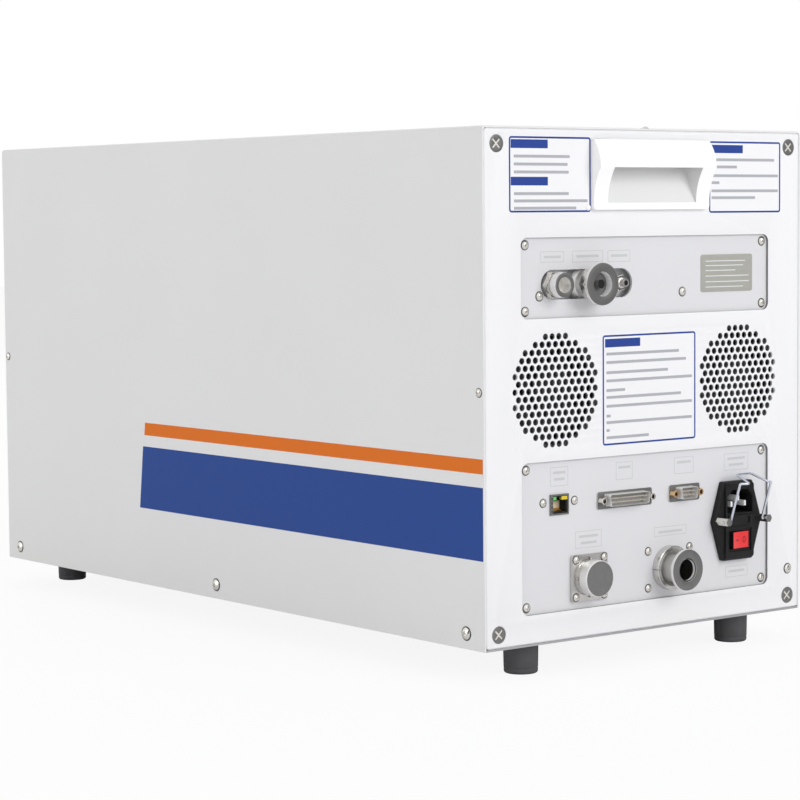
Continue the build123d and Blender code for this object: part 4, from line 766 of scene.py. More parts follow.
# The walls of the openings and of the vents near them get the grey of painted shade.
for face in front_panel.data.polygons:
    x, z, out = on_panel().inverted() @ face.center
    if abs(x) < OPENING_WIDTH / 2 + 2 and 10 < z < HANDLE_Z - 30 and abs(face.normal.y) < 0.5:
        face.material_index = 1

slots = []
for row in range(8):
    for side in (-1, 1):
        slots.append(rounded(84, 5, 2.49, (side * GRILLE_X, GRILLE_Z + 12 * (row - 3.5)), 8))
bm = bmesh.new()
punched(bm, on_far_panel(), pan_face(slots), -PANEL_SHEET, 0, rim=0.3)
pan_rim(bm, on_far_panel())
far_panel = piece("far_panel", bm, panel_enamel, replaces=["intake_panel"], angle=30)
print("vents:", len(vents), "panel faces:", len(front_panel.data.polygons), len(far_panel.data.polygons))

# %% [markdown]
# ## The finger handles
# A moulded white grip: a flat rim on the panel, and a hooded lip that swells
# out over a wedge-shaped pocket. Subdivision would round everything alike,
# but the real part has crisp flats and soft edges. So the solid's own shape
# is copied, its seams are welded, and a Bevel modifier gives every sharp
# edge the radius that the mould has. The pocket's faces get a rougher skin
# than the polished rim, and a greyer colour that is painted shade.

# %% Handles
for node, place in (("connector_end_handle", on_panel()), ("intake_end_handle", on_far_panel())):
    grip = refined(node, [handle_white, pocket_painted_shade], edge=0.7, angle=30, steps=3)
    for face in grip.data.polygons:
        x, z, out = place.inverted() @ face.center
        # Pocket faces take the greyer white: painted shade.
        if abs(x) < POCKET_WIDTH / 2 + 1 and (out < 3.4 or abs(face.normal.x) > 0.9):
            face.material_index = 1
    print(grip.name, len(grip.data.polygons), "faces")

# %% [markdown]
# ## Screws
# A button-head screw is a low dome with a hexagon socket. A plain sphere
# cap would miss the socket, which is what catches the eye. The dome is made
# as rings that start as the socket's hexagon and grow round, so the rim of
# the socket is sharp and the dome stays smooth. The foot of the dome and a
# thin ring under it are painted dark: a painted contact shadow round the head.


# %% Button-head screws
def button_head(bm, place, radius, height, socket=0.42, steps=36):
    """A domed head, its socket and its underside, standing on out = 0."""
    height -= 0.03
    sphere = (radius**2 + height**2) / (2 * height)
    angles = [2 * pi * n / steps for n in range(steps)]

    def dome(r):
        return height - sphere + sqrt(max(sphere**2 - r**2, 0))

    def ring(r, out, six=0.0):
        points = []
        for a in angles:
            flat = (a + pi / 6) % (pi / 3) - pi / 6
            hex_radius = r * cos(pi / 6) / cos(flat)
            reach = r + (hex_radius - r) * six
            points.append((reach * cos(a), reach * sin(a), dome(reach) if out is None else out))
        return points

    hole = radius * socket
    outlines = [
        ring(hole * 0.15, height * 0.3, 1),
        ring(hole, height * 0.38, 1),
        ring(hole, None, 1),
        ring(hole * 1.08, None, 0.9),
        ring(hole * 1.35, None, 0.3),
        ring(radius * 0.78, None),
        ring(radius * 0.92, None),
        ring(radius * 0.985, height * 0.2),
        ring(radius, height * 0.08),
        ring(radius, 0),
    ]
    rings = loft(bm, place, outlines)
    # The foot of the dome is painted dark: painted contact shadow.
    for face in {face for vert in rings[-3] + rings[-2] for face in vert.link_faces}:
        face.material_index = 1
    # A thin dark ring under the head: painted contact shadow on the plate.
    shade_ring = [(radius * 0.9, 0), (radius * 1.12, 0), (radius * 1.12, 0.08), (radius * 0.9, 0.1)]
    before = len(bm.faces)
    spin(bm, place, shade_ring, steps, loop=True)
    bm.faces.ensure_lookup_table()
    for face in bm.faces[before:]:
        face.material_index = 1


def plate_corners(opening):
    """The four screw places of a recessed plate."""
    return [(x, z) for x in (-115.8, 115.8) for z in (opening[0] + 5, opening[1] - 5)]


def four_round(spot, pitch_x, pitch_z):
    """Corners of a rectangle about a spot."""
    return [(spot[0] + x * pitch_x / 2, spot[1] + z * pitch_z / 2) for x in (-1, 1) for z in (-1, 1)]


PORT_Z = 250.7
GAS_INLET, SAMPLE_PORT, CAPILLARY_PORT = (-90.5, PORT_Z), (-57.8, PORT_Z), (-28.1, PORT_Z)
LAN_JACK, DSUB_Z, DSUB25_X, DSUB9_X = (-85.5, 97), 96.7, -23.5, 35.5
POWER_INLET, PUMP_SOCKET, FORELINE_PORT = (87.2, 72.5), (-58.4, 43.4), (20.8, 43)
PLATE = 2

bm = bmesh.new()
for x, z in plate_corners(UPPER_OPENING) + plate_corners(LOWER_OPENING) + [(-102.7, 242.9), (34.3, 242.9)]:
    button_head(bm, on_panel(x, z, -PLATE), 3.2, 2)
for x, z in four_round(FORELINE_PORT, 41.4, 26.8) + [
    (LAN_JACK[0] - 14.6, 98.8), (LAN_JACK[0] + 14.6, 98.8),
]:
    button_head(bm, on_panel(x, z, -PLATE), 2.9, 1.9)
for x, z in four_round(PUMP_SOCKET, 26.6, 26.6):
    button_head(bm, on_panel(x, z, 0.5), 2.9, 1.9)
piece("plate_screw_heads", bm, [bright_nickel, dark_steel_and_painted_shade], replaces=["plate_screws"])

bm = bmesh.new()
for hand in (-1, 1):
    for depth in (20, CASE_DEPTH / 2, CASE_DEPTH - 20):
        button_head(bm, on_side(hand, depth, 11), 4.6, 2.4)
    for depth in (5, CASE_DEPTH - 5):
        button_head(bm, on_side(hand, depth, 178.5), 3, 1.9)
for depth in (5, CASE_DEPTH - 5):
    button_head(bm, on_roof(0, depth), 3, 1.9)
piece("cover_screw_heads", bm, [bright_nickel, dark_steel_and_painted_shade], replaces=["cover_screws"])

bm = bmesh.new()
button_head(bm, on_panel(142.3, 31.3), 3.6, 2.2)
piece("earth_screw_head", bm, [bright_nickel, dark_steel_and_painted_shade], replaces=["earth_screw"])
print("screw heads made")

# %% [markdown]
# ## Countersunk corner screws
# The four corner screws at each end lie level with the panel. Their heads
# are dark, and the driver has bared the metal in their cross recess, so the
# cross shines. A texture could fake the cross; a real recess also shades.


# %% Corner screws
def cross_outline(arm, width):
    """Twelve corners of a plus sign."""
    a, w = arm, width / 2
    return [
        (a, -w), (a, w), (w, w), (w, a), (-w, a), (-w, w), (-a, w), (-a, -w), (-w, -w),
        (-w, -a), (w, -a), (w, -w),
    ]


dark_heads, bright_cross = bmesh.new(), bmesh.new()
for place_at in (on_panel, on_far_panel):
    for x, z in [(x, z) for x in (-142.3, 142.3) for z in (11, 347.9)]:
        place = place_at(x, z, -0.05) @ Matrix.Rotation(radians(45), 4, "Z")
        punched(dark_heads, place, [ring_of(5.95, 48), cross_outline(4.3, 1.45)], -1.2, 0, rim=0.2)
        prism(bright_cross, place, cross_outline(4.35, 1.5), -1.6, -0.5)
piece("corner_screw_heads", dark_heads, dull_nickel_and_painted_reflection, replaces=["corner_screws"])
piece("corner_screw_crosses", bright_cross, cross_nickel)

# %% [markdown]
# ## Recessed plates
# The two plates are separate sheets behind the openings, a shade greyer
# than the panel and with a rougher skin. They keep the solid's outline and
# holes; only their edges are broken so that the cut-outs catch some light.

# %% Plates
refined("upper_port_plate", plate_enamel, edge=0.2)
refined("lower_connector_plate", plate_enamel, edge=0.2)

# %% [markdown]
# ## Labels, left without words
# Three instruction labels are blue frames on white film with header
# blocks. Words are left out: each line of print is a plain grey bar. Small
# frames are engraved over the connectors, and a bare rating plate sits by
# the ports. All are thin films, stacked a few hundredths of a millimetre.

# %% Labels
print_blue = moulded("print_blue", rgb(34, 64, 146), 0.6, bloom=0.0, Specular_IOR_Level=0.3)
print_grey = moulded("print_grey", rgb(172, 173, 179), 0.55, bloom=0.0)
engraved = moulded("engraved_grey", rgb(198, 199, 201), 0.6, bloom=0.0)
plate_metal = plated("rating_plate_metal", rgb(186, 186, 178), 0.42, metallic=0.35)


def frame_line(bm, place, x0, x1, z0, z1, line, low, high, radius=1.6):
    """A thin rounded frame."""
    middle = ((x0 + x1) / 2, (z0 + z1) / 2)
    outer = rounded(x1 - x0, z1 - z0, radius, middle)
    inner = rounded(x1 - x0 - 2 * line, z1 - z0 - 2 * line, max(radius - line, 0.2), middle)
    rings = (outer, low), (outer, high), (inner, high), (inner, low), (outer, low)
    loft(bm, place, [[(x, y, out) for x, y in ring] for ring, out in rings], capped=False)


def bar(bm, place, x0, x1, z0, z1, low, high):
    """A plain printed bar."""
    prism(bm, place, [(x0, z0), (x1, z0), (x1, z1), (x0, z1)], low, high)


def label(name, x0, x1, z0, z1, headers, lines, place=on_panel()):
    """White film, blue frame, blue header blocks and grey bars."""
    sheet = rounded(x1 - x0, z1 - z0, 2, ((x0 + x1) / 2, (z0 + z1) / 2))
    film(name + "_film", place, sheet, print_white, 0.06)
    blue, grey = bmesh.new(), bmesh.new()
    frame_line(blue, place, x0 + 0.6, x1 - 0.6, z0 + 0.6, z1 - 0.6, 1.3, 0.05, 0.1, radius=2.2)
    for hx0, hx1, hz0, hz1 in headers:
        bar(blue, place, hx0, hx1, hz0, hz1, 0.05, 0.1)
    for lx0, lx1, lz in lines:
        bar(grey, place, lx0, lx1, lz - 1, lz + 1, 0.05, 0.09)
    piece(name + "_blue", blue, print_blue, angle=80)
    piece(name + "_bars", grey, print_grey, angle=80)


label(
    "left_label", -132.0, -55.8, 300.3, 353.6,
    [(-129.8, -96.2, 344.9, 350.9), (-129.8, -96.2, 319.4, 325.3)],
    [
        (-127, -76, 339.4), (-127, -78, 334.0), (-127, -77, 328.6), (-127, -77, 313.8),
        (-127, -59.5, 308.8), (-127, -70, 303.8),
    ],
)
label(
    "right_label", 58.8, 134.2, 299, 352.2,
    [(61.5, 94.1, 343.1, 349.0)],
    [
        (62, 127, 338.2), (62, 88, 333.0), (62, 131, 326.6), (62, 70, 321.5), (62, 131, 315.6),
        (62, 107, 310.6),
    ],
)
label(
    "middle_label", -46.2, 46.2, 135.2, 214.6,
    [(-43.2, -9.3, 205.3, 211.3)],
    [(-42, 29, 200.6), (-42, 36, 194.6), (-42, 18, 187.4), (-42, 42, 181.6), (-42, -24, 174.8),
     (-42, 31, 169.8), (-42, 42, 163.6),
     (-42, -38, 156.6), (-42, 42, 152.0), (-42, -39, 146.4), (-42, -1, 141.2)],
)
CAPTIONS = [
    (-101.6, -79.8, 266.2, 273.9, 1),
    (-72.1, -43.1, 265.8, 274.0, 1),
    (-38.6, -17.0, 265.6, 273.9, 1),
    (-93.2, -76.7, 109.9, 123.3, 2),
    (-31.1, -15.0, 110.2, 123.0, 1),
    (26.2, 45.7, 110.5, 122.8, 1),
    (77.0, 102.3, 109.4, 122.1, 2),
    (78.6, 101.7, 29.8, 38.1, 1),
    (6.1, 38.5, 66.3, 73.2, 1),
    (-70.1, -45.0, 64.2, 76.4, 2),
]
boxes = bmesh.new()
for x0, x1, z0, z1, rows in CAPTIONS:
    frame_line(boxes, on_panel(), x0, x1, z0, z1, 0.45, -PLATE, -PLATE + 0.04, radius=0.4)
    for row in range(rows):
        z = z1 - 3.9 - row * 4.6
        reach = (x1 - x0) * (0.36 - 0.06 * row)
        middle = (x0 + x1) / 2
        bar(boxes, on_panel(), middle - reach, middle + reach, z - 0.9, z + 0.9, -PLATE, -PLATE + 0.04)
piece("engraved_frames", boxes, engraved, angle=80)
bm = bmesh.new()
prism(bm, on_panel(), rounded(52.8, 27.2, 1.6, (79.3, 255.6)), -PLATE, -PLATE + 0.5)
piece("rating_plate", bm, plate_metal, edge=0.12)
grooves = bmesh.new()
for z, x1 in ((264.5, 98), (261.2, 96), (257.6, 88), (253.6, 102), (249.4, 102), (245.6, 96)):
    bar(grooves, on_panel(), 57.5, x1, z - 0.25, z + 0.25, -PLATE + 0.49, -PLATE + 0.54)
piece("rating_plate_lines", grooves, print_white, angle=80)
bm = bmesh.new()
spin(bm, on_panel(-59, 304), [(0, 0), (2.1, 0), (2.1, 0.5), (1.9, 0.9), (1.2, 1.4), (0, 1.6)], 24)
piece("cable_button", bm, handle_white)
print("labels and plates made")

# %% [markdown]
# ## Gas ports
# Behind the slot sit three fittings: a gas inlet with a hexagon and an open
# thimble, a sample port with a flat vacuum flange, and a small capillary
# fitting with its nut. All are turned parts, so each is one profile spun
# round its axis, with tiny extra steps at the corners so the rims glint.
# The faces that look along the axis are painted a dull grey, a painted dark reflection, and the barrels
# stay bright.
# Two dark holes are painted shade: a solid plug with a black end stands in the
# sample port, and a black disc closes the capillary just behind its mouth,
# though the solid model's bore is open. They read well and cost little,
# but a model for cutting open would need the bores themselves.

# %% Port fittings
steel = rgb(222, 220, 217)
# Dull grey for the flat faces of the turned fittings: a painted dark reflection on bright metal.
painted_reflection_grey = rgb(126, 125, 124)


def finish_by_facing(made, flat=0, side=1):
    """One finish for the faces that look along Y, another for the rest; on the metal fittings the first is
    a darker grey, a painted dark reflection.
    """
    for face in made.data.polygons:
        face.material_index = flat if abs(face.normal.y) > 0.8 else side


inlet_turned = turned("gas_inlet_turned", painted_reflection_grey, GAS_INLET, 0.3, metallic=0.5)
bm = bmesh.new()
spin(bm, on_panel(*GAS_INLET), [
    (0, -22), (5, -22), (5, -12), (8.4, -12), (8.4, 3), (8.2, 3.2), (7.8, 3.4), (7.8, 4.6),
    (8.3, 4.85), (8.7, 5.1),
    (8.8, 5.4), (8.8, 10.5), (8.65, 10.85), (8.3, 11), (5.9, 11), (5.5, 10.8), (5.4, 10.4),
    (5.4, -2), (0, -5),
])
# The inlet's flat faces are painted dull grey, a painted dark reflection; the sides stay bright.
finish_by_facing(piece(
    "gas_inlet_shaped", bm, [inlet_turned, satin_nickel],
    replaces=["gas_inlet_fitting"], angle=28,
))
bm = bmesh.new()
loft(bm, on_panel(*GAS_INLET), [
    [(x, y, out) for x, y in hexagon(size)] for size,
    out in ((17.5, -1), (18.1, -0.7), (18.1, 2.7), (17.5, 3))
])
piece("gas_inlet_hexagon", bm, bright_nickel, edge=0.3, angle=25)

flange_turned = turned("sample_flange_turned", painted_reflection_grey, SAMPLE_PORT, 0.3, metallic=0.5)
bm = bmesh.new()
spin(bm, on_panel(*SAMPLE_PORT), [
    (3, -22), (5, -22), (5, -12), (12.5, -12), (12.5, -6.2), (12.2, -5.7), (10, -4), (10, 9.8),
    (10.2, 10.2), (14.7, 11.35),
    (15, 11.6), (15, 13.6), (14.85, 13.88), (14.5, 14), (8.9, 14), (8.68, 13.9), (8.6, 13.7),
    (8.6, 8.5), (8.5, 8.4), (3, 8.4),
], 96, loop=True)
# The flange's flat faces are painted dull grey, a painted dark reflection; the sides stay bright.
finish_by_facing(piece(
    "sample_port_shaped", bm, [flange_turned, satin_nickel],
    replaces=["sample_port"], angle=28,
))
bm = bmesh.new()
spin(bm, on_panel(*SAMPLE_PORT), [(8.57, 13.6), (8.5, 13), (8.5, 8.6), (8.57, 8.5)], 96, loop=True)
piece("sample_port_bore", bm, blade_nickel, angle=28)
bm = bmesh.new()
# A plug with a black end in the sample port's bore: painted shade for the hole.
prism(bm, on_panel(*SAMPLE_PORT), ring_of(3.2, 32), 8.2, 12.4)
finish_by_facing(piece("sample_port_shade_plug", bm, [black_plastic_and_painted_shade, flange_turned], edge=0.08))
bm = bmesh.new()
loft(bm, on_panel(*SAMPLE_PORT), [
    [(x, y, out) for x, y in hexagon(size, 0)] for size,
    out in ((20.8, 2.2), (21.8, 2.6), (21.8, 7.6), (20.8, 8))
])
piece("sample_port_hexagon", bm, bright_nickel, edge=0.3, angle=25)

small_turned = turned("capillary_turned", steel, CAPILLARY_PORT)
bm = bmesh.new()
spin(bm, on_panel(*CAPILLARY_PORT), [
    (0, -22), (5, -22), (5, -12), (6.6, -12), (6.6, -5), (3.9, -4), (3.9, 1.3), (3.7, 1.7),
    (3, 2), (3, 5.7), (2.8, 6), (2.1, 6),
    (1.9, 5.8), (1.9, -4), (0, -5),
], 48)
piece("capillary_shaped", bm, small_turned, replaces=["capillary_fitting"], angle=28)
bm = bmesh.new()
# A black disc just behind the capillary's mouth: painted shade for the bore.
prism(bm, on_panel(*CAPILLARY_PORT), ring_of(1.95, 24), 4.6, 5.4)
piece("capillary_shade_disc", bm, black_plastic_and_painted_shade, edge=0.05)
bm = bmesh.new()
loft(bm, on_panel(*CAPILLARY_PORT), [
    [(x, y, out) for x, y in hexagon(size, 0.2)] for size, out in ((11, -4), (11, 0), (10, 0.5), (8.2, 0.5))
])
piece(
    "capillary_nut_shaped", bm, bright_nickel, replaces=["capillary_nut"],
    edge=0.2, angle=25,
)
refined("valve_manifold", milled, edge=0.4)
print("gas ports made")

# %% [markdown]
# ## Vacuum hose port
# The largest port carries the hose of the backing pump: a thin flange on a
# tube, standing in a collar that is split in two halves. The seam between
# the halves is a real gap, which a painted line can't match from the side.
# A step inside the bore, where a seal sits, catches the light.

# %% Hose port
tube_turned = turned("hose_port_turned", painted_reflection_grey, FORELINE_PORT, 0.3, metallic=0.5)
hose_bore = turned("hose_bore_turned", steel, FORELINE_PORT, 0.14)
collar_steel = turned("collar_turned", steel, FORELINE_PORT, 0.18)
bm = bmesh.new()
spin(bm, on_panel(*FORELINE_PORT), [
    (8.2, -40), (10, -40), (10, 13.8), (10.2, 14.2), (14.7, 15.35), (15, 15.6), (15, 17.6),
    (14.85, 17.88), (14.5, 18),
    (8.9, 18), (8.65, 17.9), (8.6, 17.6), (8.2, 15),
], 96, loop=True)
# The hose port's flat faces are painted dull grey, a painted dark reflection; the tube stays bright.
finish_by_facing(piece(
    "hose_port_shaped", bm, [tube_turned, satin_nickel],
    replaces=["foreline_port"], angle=28,
))
bm = bmesh.new()
spin(bm, on_panel(*FORELINE_PORT), [(8.55, 17.5), (8.15, 14.9), (8.15, -39.8), (8.19, -39.8)], 96)
piece("hose_port_bore", bm, hose_bore, angle=28)
bm = bmesh.new()
spin(bm, on_panel(*FORELINE_PORT), [(8.14, 15.2), (8.14, 17.2), (7.6, 17.2), (7.6, 15.2)], 96, loop=True)
finish_by_facing(piece("hose_port_step", bm, [black_plastic_and_painted_shade, blade_nickel], angle=28))
bm = bmesh.new()
for half in (0, pi):
    section = [(10.05, -2), (16.3, -2), (16.3, 3.3), (16.15, 3.75), (15.7, 4), (13.4, 4), (10.05, 0.6)]
    rings = []
    gap = 0.2 / 13
    for n in range(33):
        a = half + gap + (pi - 2 * gap) * n / 32
        rings.append([(r * cos(a), r * sin(a), out) for r, out in section])
    loft(bm, on_panel(*FORELINE_PORT), rings)
piece("split_collar_shaped", bm, collar_steel, replaces=["split_collar"], angle=28)
print("hose port made")

# %% [markdown]
# ## Pump socket
# A round power socket for the turbo pump waits under its dust cap. Its
# square flange is polished; four short studs on the barrel lock a bayonet
# plug. The cap is a separate body that can be pulled off, so it is its own
# piece and nothing else is joined to it.

# %% Pump socket and cap
socket_turned = turned("pump_socket_turned", steel, PUMP_SOCKET, 0.16)
cap_steel = turned("dust_cap_turned", rgb(132, 131, 130), PUMP_SOCKET, 0.3, metallic=0.5)
refined("pump_socket", socket_turned, edge=0.3, angle=30)
bm = bmesh.new()
spin(bm, on_panel(*PUMP_SOCKET), [
    (0, 11), (12.4, 11), (13, 10.4), (13, 3.6), (12.8, 3.3), (11.7, 3.3), (11.7, 8.9), (0, 8.9),
], 96)
# The cap's flat faces are painted dull grey, a painted dark reflection; its sides stay bright.
finish_by_facing(piece(
    "dust_cap_shaped", bm, [cap_steel, satin_nickel],
    "dust_cap", ["dust_cap"], angle=28,
))
grips = bmesh.new()
for n in range(36):
    a = 2 * pi * n / 36
    place = on_panel(*PUMP_SOCKET) @ Matrix.Rotation(a, 4, "Z")
    prism(grips, place, [(12.85, -0.32), (12.98, -0.3), (12.98, 0.3), (12.85, 0.32)], 4.4, 8.6)
piece("dust_cap_grips", grips, satin_nickel, "dust_cap", angle=60)
frame["nodes"]["pump_socket_pins"].data.materials.clear()
frame["nodes"]["pump_socket_pins"].data.materials.append(contact_gold.material)
print("pump socket made")

# %% [markdown]
# ## Network jack
# A shielded jack: a thin metal shell, a black insert with eight gold
# contacts, and two lamps. The shell's spring contacts show only as dark
# slits along its folded left edge, so four thin black strips stand for them:
# painted shade for the slits. A plain wall closes the insert 8 mm behind its face.

# %% Network jack
refined("lan_shell", dull_nickel_and_painted_reflection, edge=0.12)
refined("lan_insert", black_plastic_and_painted_shade, edge=0.1)
refined("lan_contacts", contact_gold, edge=0.03)
lamps = bmesh.new()
for dx, wide, tone in ((-4.5, 2.8, 0), (4.4, 5.4, 1)):
    before = len(lamps.faces)
    prism(lamps, on_panel(LAN_JACK[0] + dx, LAN_JACK[1] + 4.5), rounded(wide, 2.5, 0.3), -3, -0.85)
    lamps.faces.ensure_lookup_table()
    for n in range(before, len(lamps.faces)):
        lamps.faces[n].material_index = tone
piece("jack_lamps", lamps, [lamp_green, lamp_yellow], replaces=["lan_lamps"], edge=0.15)
shield, slit_shade = bmesh.new(), bmesh.new()
bar(shield, on_panel(*LAN_JACK), -8.1, -6.2, -6.8, 6.8, -1.15, -0.82)
# Four thin black strips: painted shade for the slits of the spring contacts.
for z in (-5.3, -2.3, 0.7, 3.7):
    bar(slit_shade, on_panel(*LAN_JACK), -7.7, -6.8, z, z + 1.4, -0.9, -0.8)
piece("jack_shield", shield, dull_nickel_and_painted_reflection, angle=60)
piece("jack_slit_shade", slit_shade, black_plastic_and_painted_shade, angle=60)
bm = bmesh.new()
prism(bm, on_panel(LAN_JACK[0], LAN_JACK[1] - 1.2), rounded(11.7, 7.5, 0.3), -8.6, -8)
piece("jack_back", bm, insert_tan, edge=0.1)
print("network jack made")

# %% [markdown]
# ## D connectors
# Their shells are drawn from one sheet: a D-shaped tube on a flange with a
# soft bend between the two. The solid's sharp joint is replaced by rings
# that follow that bend. The grey inserts keep the solid's shape, and the
# pins are pale nickel with a rounded tip. The flange and the other faces that
# look along the axis are painted dull grey, a painted dark reflection, and
# the tube stays bright.


# %% D connectors
def dee(width, height, radius=1.6, slant=1.5, steps=5):
    """The D outline, wider at its top, anticlockwise from the top right."""
    w, h = width / 2, height / 2
    corners = [Vector(c) for c in ((w, h), (-w, h), (slant - w, -h), (w - slant, -h))]
    points = []
    for n, corner in enumerate(corners):
        start = corner + (corners[n - 1] - corner).normalized() * radius
        end = corner + (corners[(n + 1) % 4] - corner).normalized() * radius
        for k in range(steps + 1):
            t = k / steps
            point = start * (1 - t) ** 2 + corner * 2 * t * (1 - t) + end * t**2
            points.append((point.x, point.y))
    return points


def dee_shell(bm, x, flange, pitch, width):
    """Flange with its screw holes, bend, tube and its inside."""
    holes = [ring_of(1.7, 20, (s * pitch / 2, 0)) for s in (-1, 1)]
    place = on_panel(x, DSUB_Z)
    punched(
        bm, place, [rounded(flange, 12.55, 1.6), dee(width - 0.4, 8.2)] + holes, -PLATE,
        -PLATE + 1, rim=0.2,
    )
    steps = [
        (1.4, -1.05), (0.5, -0.9), (0.12, -0.5), (0, 0.2), (0, 5.2), (-0.16, 5.45), (-0.6, 5.5),
        (-0.85, 5.3), (-0.9, 4.9), (-0.9, -1.9),
    ]
    loft(
        bm, place,
        [[(px, py, out) for px, py in dee(width + grow, 8.6 + grow)] for grow, out in steps],
        capped=False,
    )


for node_x, flange, pitch, width, tag in (
    (DSUB25_X, 53.04, 47.04, 39, "wide"), (DSUB9_X, 30.81, 24.99, 17, "narrow"),
):
    bm = bmesh.new()
    dee_shell(bm, node_x, flange, pitch, width)
    # The shell's flat faces are painted dull grey, a painted dark reflection; the tube stays bright.
    finish_by_facing(piece(
        tag + "_dee_shell", bm, [dull_nickel_and_painted_reflection, satin_nickel],
        replaces=["dsub_shells"], angle=40,
    ))
refined("dsub_inserts", insert_grey, edge=0.08)
PIN_PITCH, PIN_ROW = 2.77, 1.42
pins = bmesh.new()
for x, count in ((DSUB25_X, 13), (DSUB9_X, 5)):
    for n in range(count):
        spots = [(x + PIN_PITCH * (n - (count - 1) / 2), PIN_ROW)]
        if n < count - 1:
            spots.append((spots[0][0] + PIN_PITCH / 2, -PIN_ROW))
        for px, dz in spots:
            spin(
                pins, on_panel(px, DSUB_Z + dz),
                [(0, -7), (0.44, -7), (0.44, 3.6), (0.3, 4.1), (0, 4.4)], 10,
            )
piece("dee_pins", pins, pin_nickel, replaces=["dsub_pins"], angle=50)
jacks = bmesh.new()
for index, (x, pitch) in enumerate(((DSUB25_X, 47.04), (DSUB9_X, 24.99))):
    for s in (-1, 1):
        place = on_panel(x + s * pitch / 2, DSUB_Z)
        before = len(jacks.faces)
        loft(jacks, place, [
            [(px, py, out) for px, py in ring]
            for ring, out in (
                (hexagon(4.8, 0.3), -1), (hexagon(4.8, 0.3), 3.6), (hexagon(4.1, 0.3), 4),
                (hexagon(3.1, 0.3), 4), (hexagon(2.5, 0.3), 3.4), (hexagon(2.4, 0.3), -1),
            )
        ])
        jacks.faces.ensure_lookup_table()
        for n in range(before, len(jacks.faces)):
            jacks.faces[n].material_index = index
piece(
    "jackscrews_shaped", jacks, [bright_nickel, warm_brass], replaces=["jackscrews"],
    edge=0.12, angle=25,
)
print("D connectors made")

# %% [markdown]
# ## Mains inlet
# One black moulding holds the mains socket, the fuse drawer and the switch.
# The drawer and the rocker move, so they are pieces of their own bodies.
# The solid's shapes are right; moulded edges need a radius of about half a
# millimetre, which the Bevel modifier gives. On the rocker, a bar and a
# ring mark on and off, as on any such switch. Its face is hollow, so the
# marks are thin strips that follow the hollow. Only that face is red: the
# lens of a lit switch sits in a black frame.

# %% Inlet, drawer and rocker
refined("inlet_body", inlet_black, edge=0.35, steps=3)
refined("fuse_drawer", inlet_black, "fuse_drawer", edge=0.3, steps=3)
refined("drawer_fuse", fuse_glass, "fuse_drawer", edge=0.1)
refined("inlet_blades", blade_nickel, edge=0.15)
button = refined("rocker", [rocker_red, inlet_black], "rocker", edge=0.4, angle=25, steps=3)
for face in button.data.polygons:
    face.material_index = 0 if face.normal.y < -0.9 else 1

ROCKER_FACE, ROCKER_DISH, ROCKER_TILT = 5.6, 0.6, 5
hinge = on_panel(POWER_INLET[0], POWER_INLET[1] - 14.4, -1)
tipped = hinge @ Matrix.Rotation(radians(ROCKER_TILT), 4, "Y")
marks = bmesh.new()


def mark_line(points, width):
    """A line of print that lies on the rocker's hollow face."""
    rings = []
    for before, (x, z), after in zip([points[0]] + points[:-1], points, points[1:] + [points[-1]]):
        along = Vector((after[0] - before[0], after[1] - before[1])).normalized()
        rings.append([])
        for side in (-width / 2, width / 2):
            at_x, at_z = x - along.y * side, z + along.x * side
            rings[-1].append((at_x, at_z, ROCKER_FACE + ROCKER_DISH * (at_x / 8.5) ** 2 + 0.06))
    loft(marks, tipped, [ring + [(x, z, out - 0.1) for x, z, out in reversed(ring)] for ring in rings])


mark_line([(-5.6 + 0.4 * n, 0) for n in range(9)], 0.75)
mark_line([(4.0 + 1.25 * cos(2 * pi * n / 32), 2.1 * sin(2 * pi * n / 32)) for n in range(33)], 0.6)
piece("rocker_marks", marks, mark_dark, "rocker", angle=60)

# %% [markdown]
# ## Wire bail
# A bent steel wire snaps over the plug and keeps it in. It turns in two
# hexagon posts. A curve with a round bevel is the natural tool: the route
# is drawn once and the thickness is one number. Each bend is a short arc,
# because wire formed over a pin has a clear radius.

# %% Bail and posts
POST_X, PIVOT_OUT, PIVOT_Z = 20.6, 11, 0.9
LEG_X, LEAN, RISE, FRONT = 16.2, 9.6, 28.5, 13
half_route = [
    (POST_X + 4.4, 0, 0),
    (LEG_X, 0, 0),
    (LEG_X, LEAN, RISE),
    (LEG_X - 6.2, FRONT, RISE),
    (LEG_X - 8.7, FRONT - 15.7, RISE + 5.5),
]
route = half_route + [(-x, out, z) for x, out, z in reversed(half_route)]


def bent(points, radius, steps=6):
    """Round every inner corner of a route of straight runs."""
    points = [Vector(p) for p in points]
    line = [points[0]]
    for before, corner, after in zip(points, points[1:], points[2:]):
        into, away = (before - corner).normalized(), (after - corner).normalized()
        half_angle = into.angle(away) / 2
        room_for = 0.45 * min((before - corner).length, (after - corner).length)
        reach = min(radius * cos(half_angle) / max(sin(half_angle), 1e-3), room_for)
        start, end = corner + into * reach, corner + away * reach
        pull = sin(half_angle)
        for n in range(steps + 1):
            t = n / steps
            near, mid, far = (1 - t) ** 2, 2 * t * (1 - t) * pull, t**2
            line.append((start * near + corner * mid + end * far) / (near + mid + far))
    return line + [points[-1]]


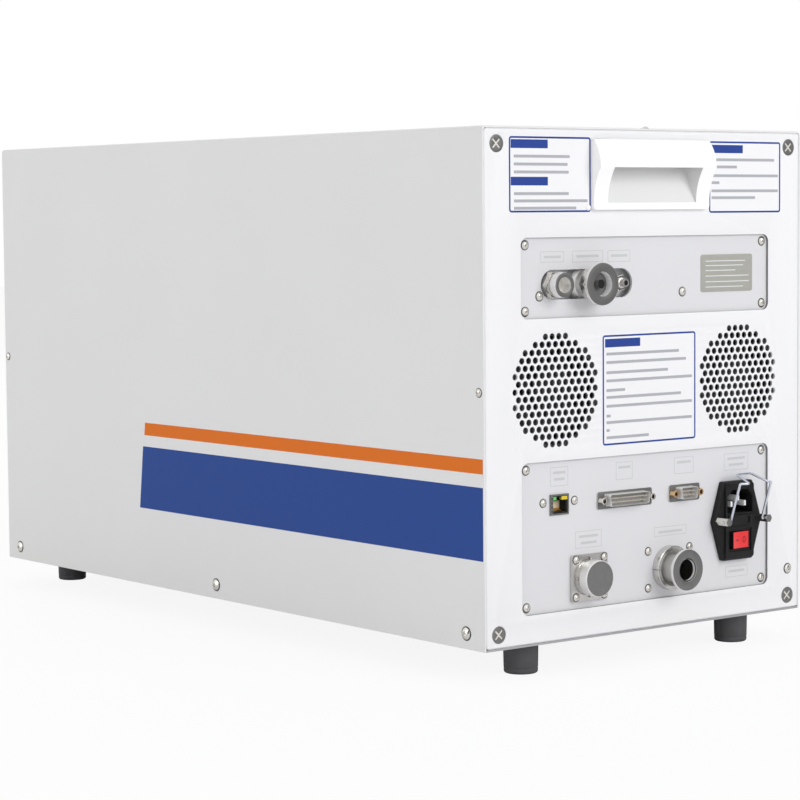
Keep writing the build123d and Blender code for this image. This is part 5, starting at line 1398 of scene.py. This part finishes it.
drawn = bpy.data.curves.new("wire_bail_line", "CURVE")
drawn.dimensions, drawn.bevel_depth, drawn.bevel_resolution, drawn.use_fill_caps = "3D", 0.9 * MM, 5, True
spline = drawn.splines.new("POLY")
line = bent(route, 1.2)
spline.points.add(len(line) - 1)
middle = on_panel(POWER_INLET[0], POWER_INLET[1] + PIVOT_Z, PIVOT_OUT)
for point, (x, out, z) in zip(spline.points, line):
    point.co = (*(middle @ Vector((x, z, out))), 1)
wire = bpy.data.objects.new("wire_bail_shaped", drawn)
bpy.context.collection.objects.link(wire)
baked = bpy.data.meshes.new_from_object(wire.evaluated_get(bpy.context.evaluated_depsgraph_get()))
bpy.data.objects.remove(wire)
bm = bmesh.new()
bm.from_mesh(baked)
piece("wire_bail_shaped", bm, wire_steel, "wire_bail", ["wire_bail"], angle=50)
# The posts' flat ends are painted dull grey, a painted dark reflection; their sides stay bright.
finish_by_facing(refined("bail_posts", [dull_nickel_and_painted_reflection, bright_nickel], edge=0.3, angle=25))
print("bail made of", len(line), "points")

# %% [markdown]
# ## Feet
# Four turned rubber feet with a soft lower edge, a moulded ring and a deep
# hole for the screw that holds them. Rubber hides its shape in shadow, so
# the ring and the edge radius are what make it read as a foot.

# %% Feet
FOOT_X, FOOT_INSET = 104, 22
bm = bmesh.new()
for x in (-FOOT_X, FOOT_X):
    for depth in (FOOT_INSET, CASE_DEPTH - FOOT_INSET):
        spin(bm, on_bench(x, depth), [
            (2.7, 14), (5.7, 14), (6, 13.7), (6, 0.6), (6.3, 0), (10.9, 0), (11.6, 0.35),
            (12.05, 1.1), (12.15, 3.2), (11.95, 3.7), (12.2, 4.2),
            (12.5, 21.4), (12.3, 22), (2.7, 22),
        ], 64, loop=True)
piece("feet_shaped", bm, foot_rubber, replaces=["rubber_feet"], angle=35)
print("feet made")

# %% [markdown]
# ## Everything behind the panels
# Fans, the vacuum system and the electronics show only through the vents
# and slots, or in a cut-away, but each still gets the finish of its real
# material. The node's slot in the record picks it. The nodes keep their
# solid shape: their meshes are fine enough for the little that is seen.

# %% Finishes by slot
by_slot = {
    "case_grey": case_enamel, "panel_white": panel_enamel, "plate_grey": plate_enamel, "zinc_steel": zinc,
    "screw_chrome": bright_nickel, "screw_dark": dark_steel_and_painted_shade, "handle_white": handle_white,
    "rubber": foot_rubber,
    "stainless": milled, "aluminium": milled, "connector_metal": shell_nickel, "brass": warm_brass,
    "black_plastic": inlet_black, "red_plastic": rocker_red, "lamp": lamp_green, "gold": contact_gold,
    "fan_plastic": fan_black, "ceramic": white_ceramic, "fuse_glass": fuse_glass,
    "board_green": board_green,
}
slot_of = {row["node"]: row["material_slot"] for row in frame["record"]["subparts"]}
kept = 0
for node, obj in frame["nodes"].items():
    if not obj.hide_render:
        obj.data.materials.clear()
        obj.data.materials.append(by_slot[slot_of[node]].material)
        kept += 1
print("solid nodes that keep their shape:", kept)

# %% [markdown]
# ## Colour view
# The picture is shown with the Standard view, which leaves colours as they are.

# %% Finish
bpy.context.scene.view_settings.view_transform = "Standard"
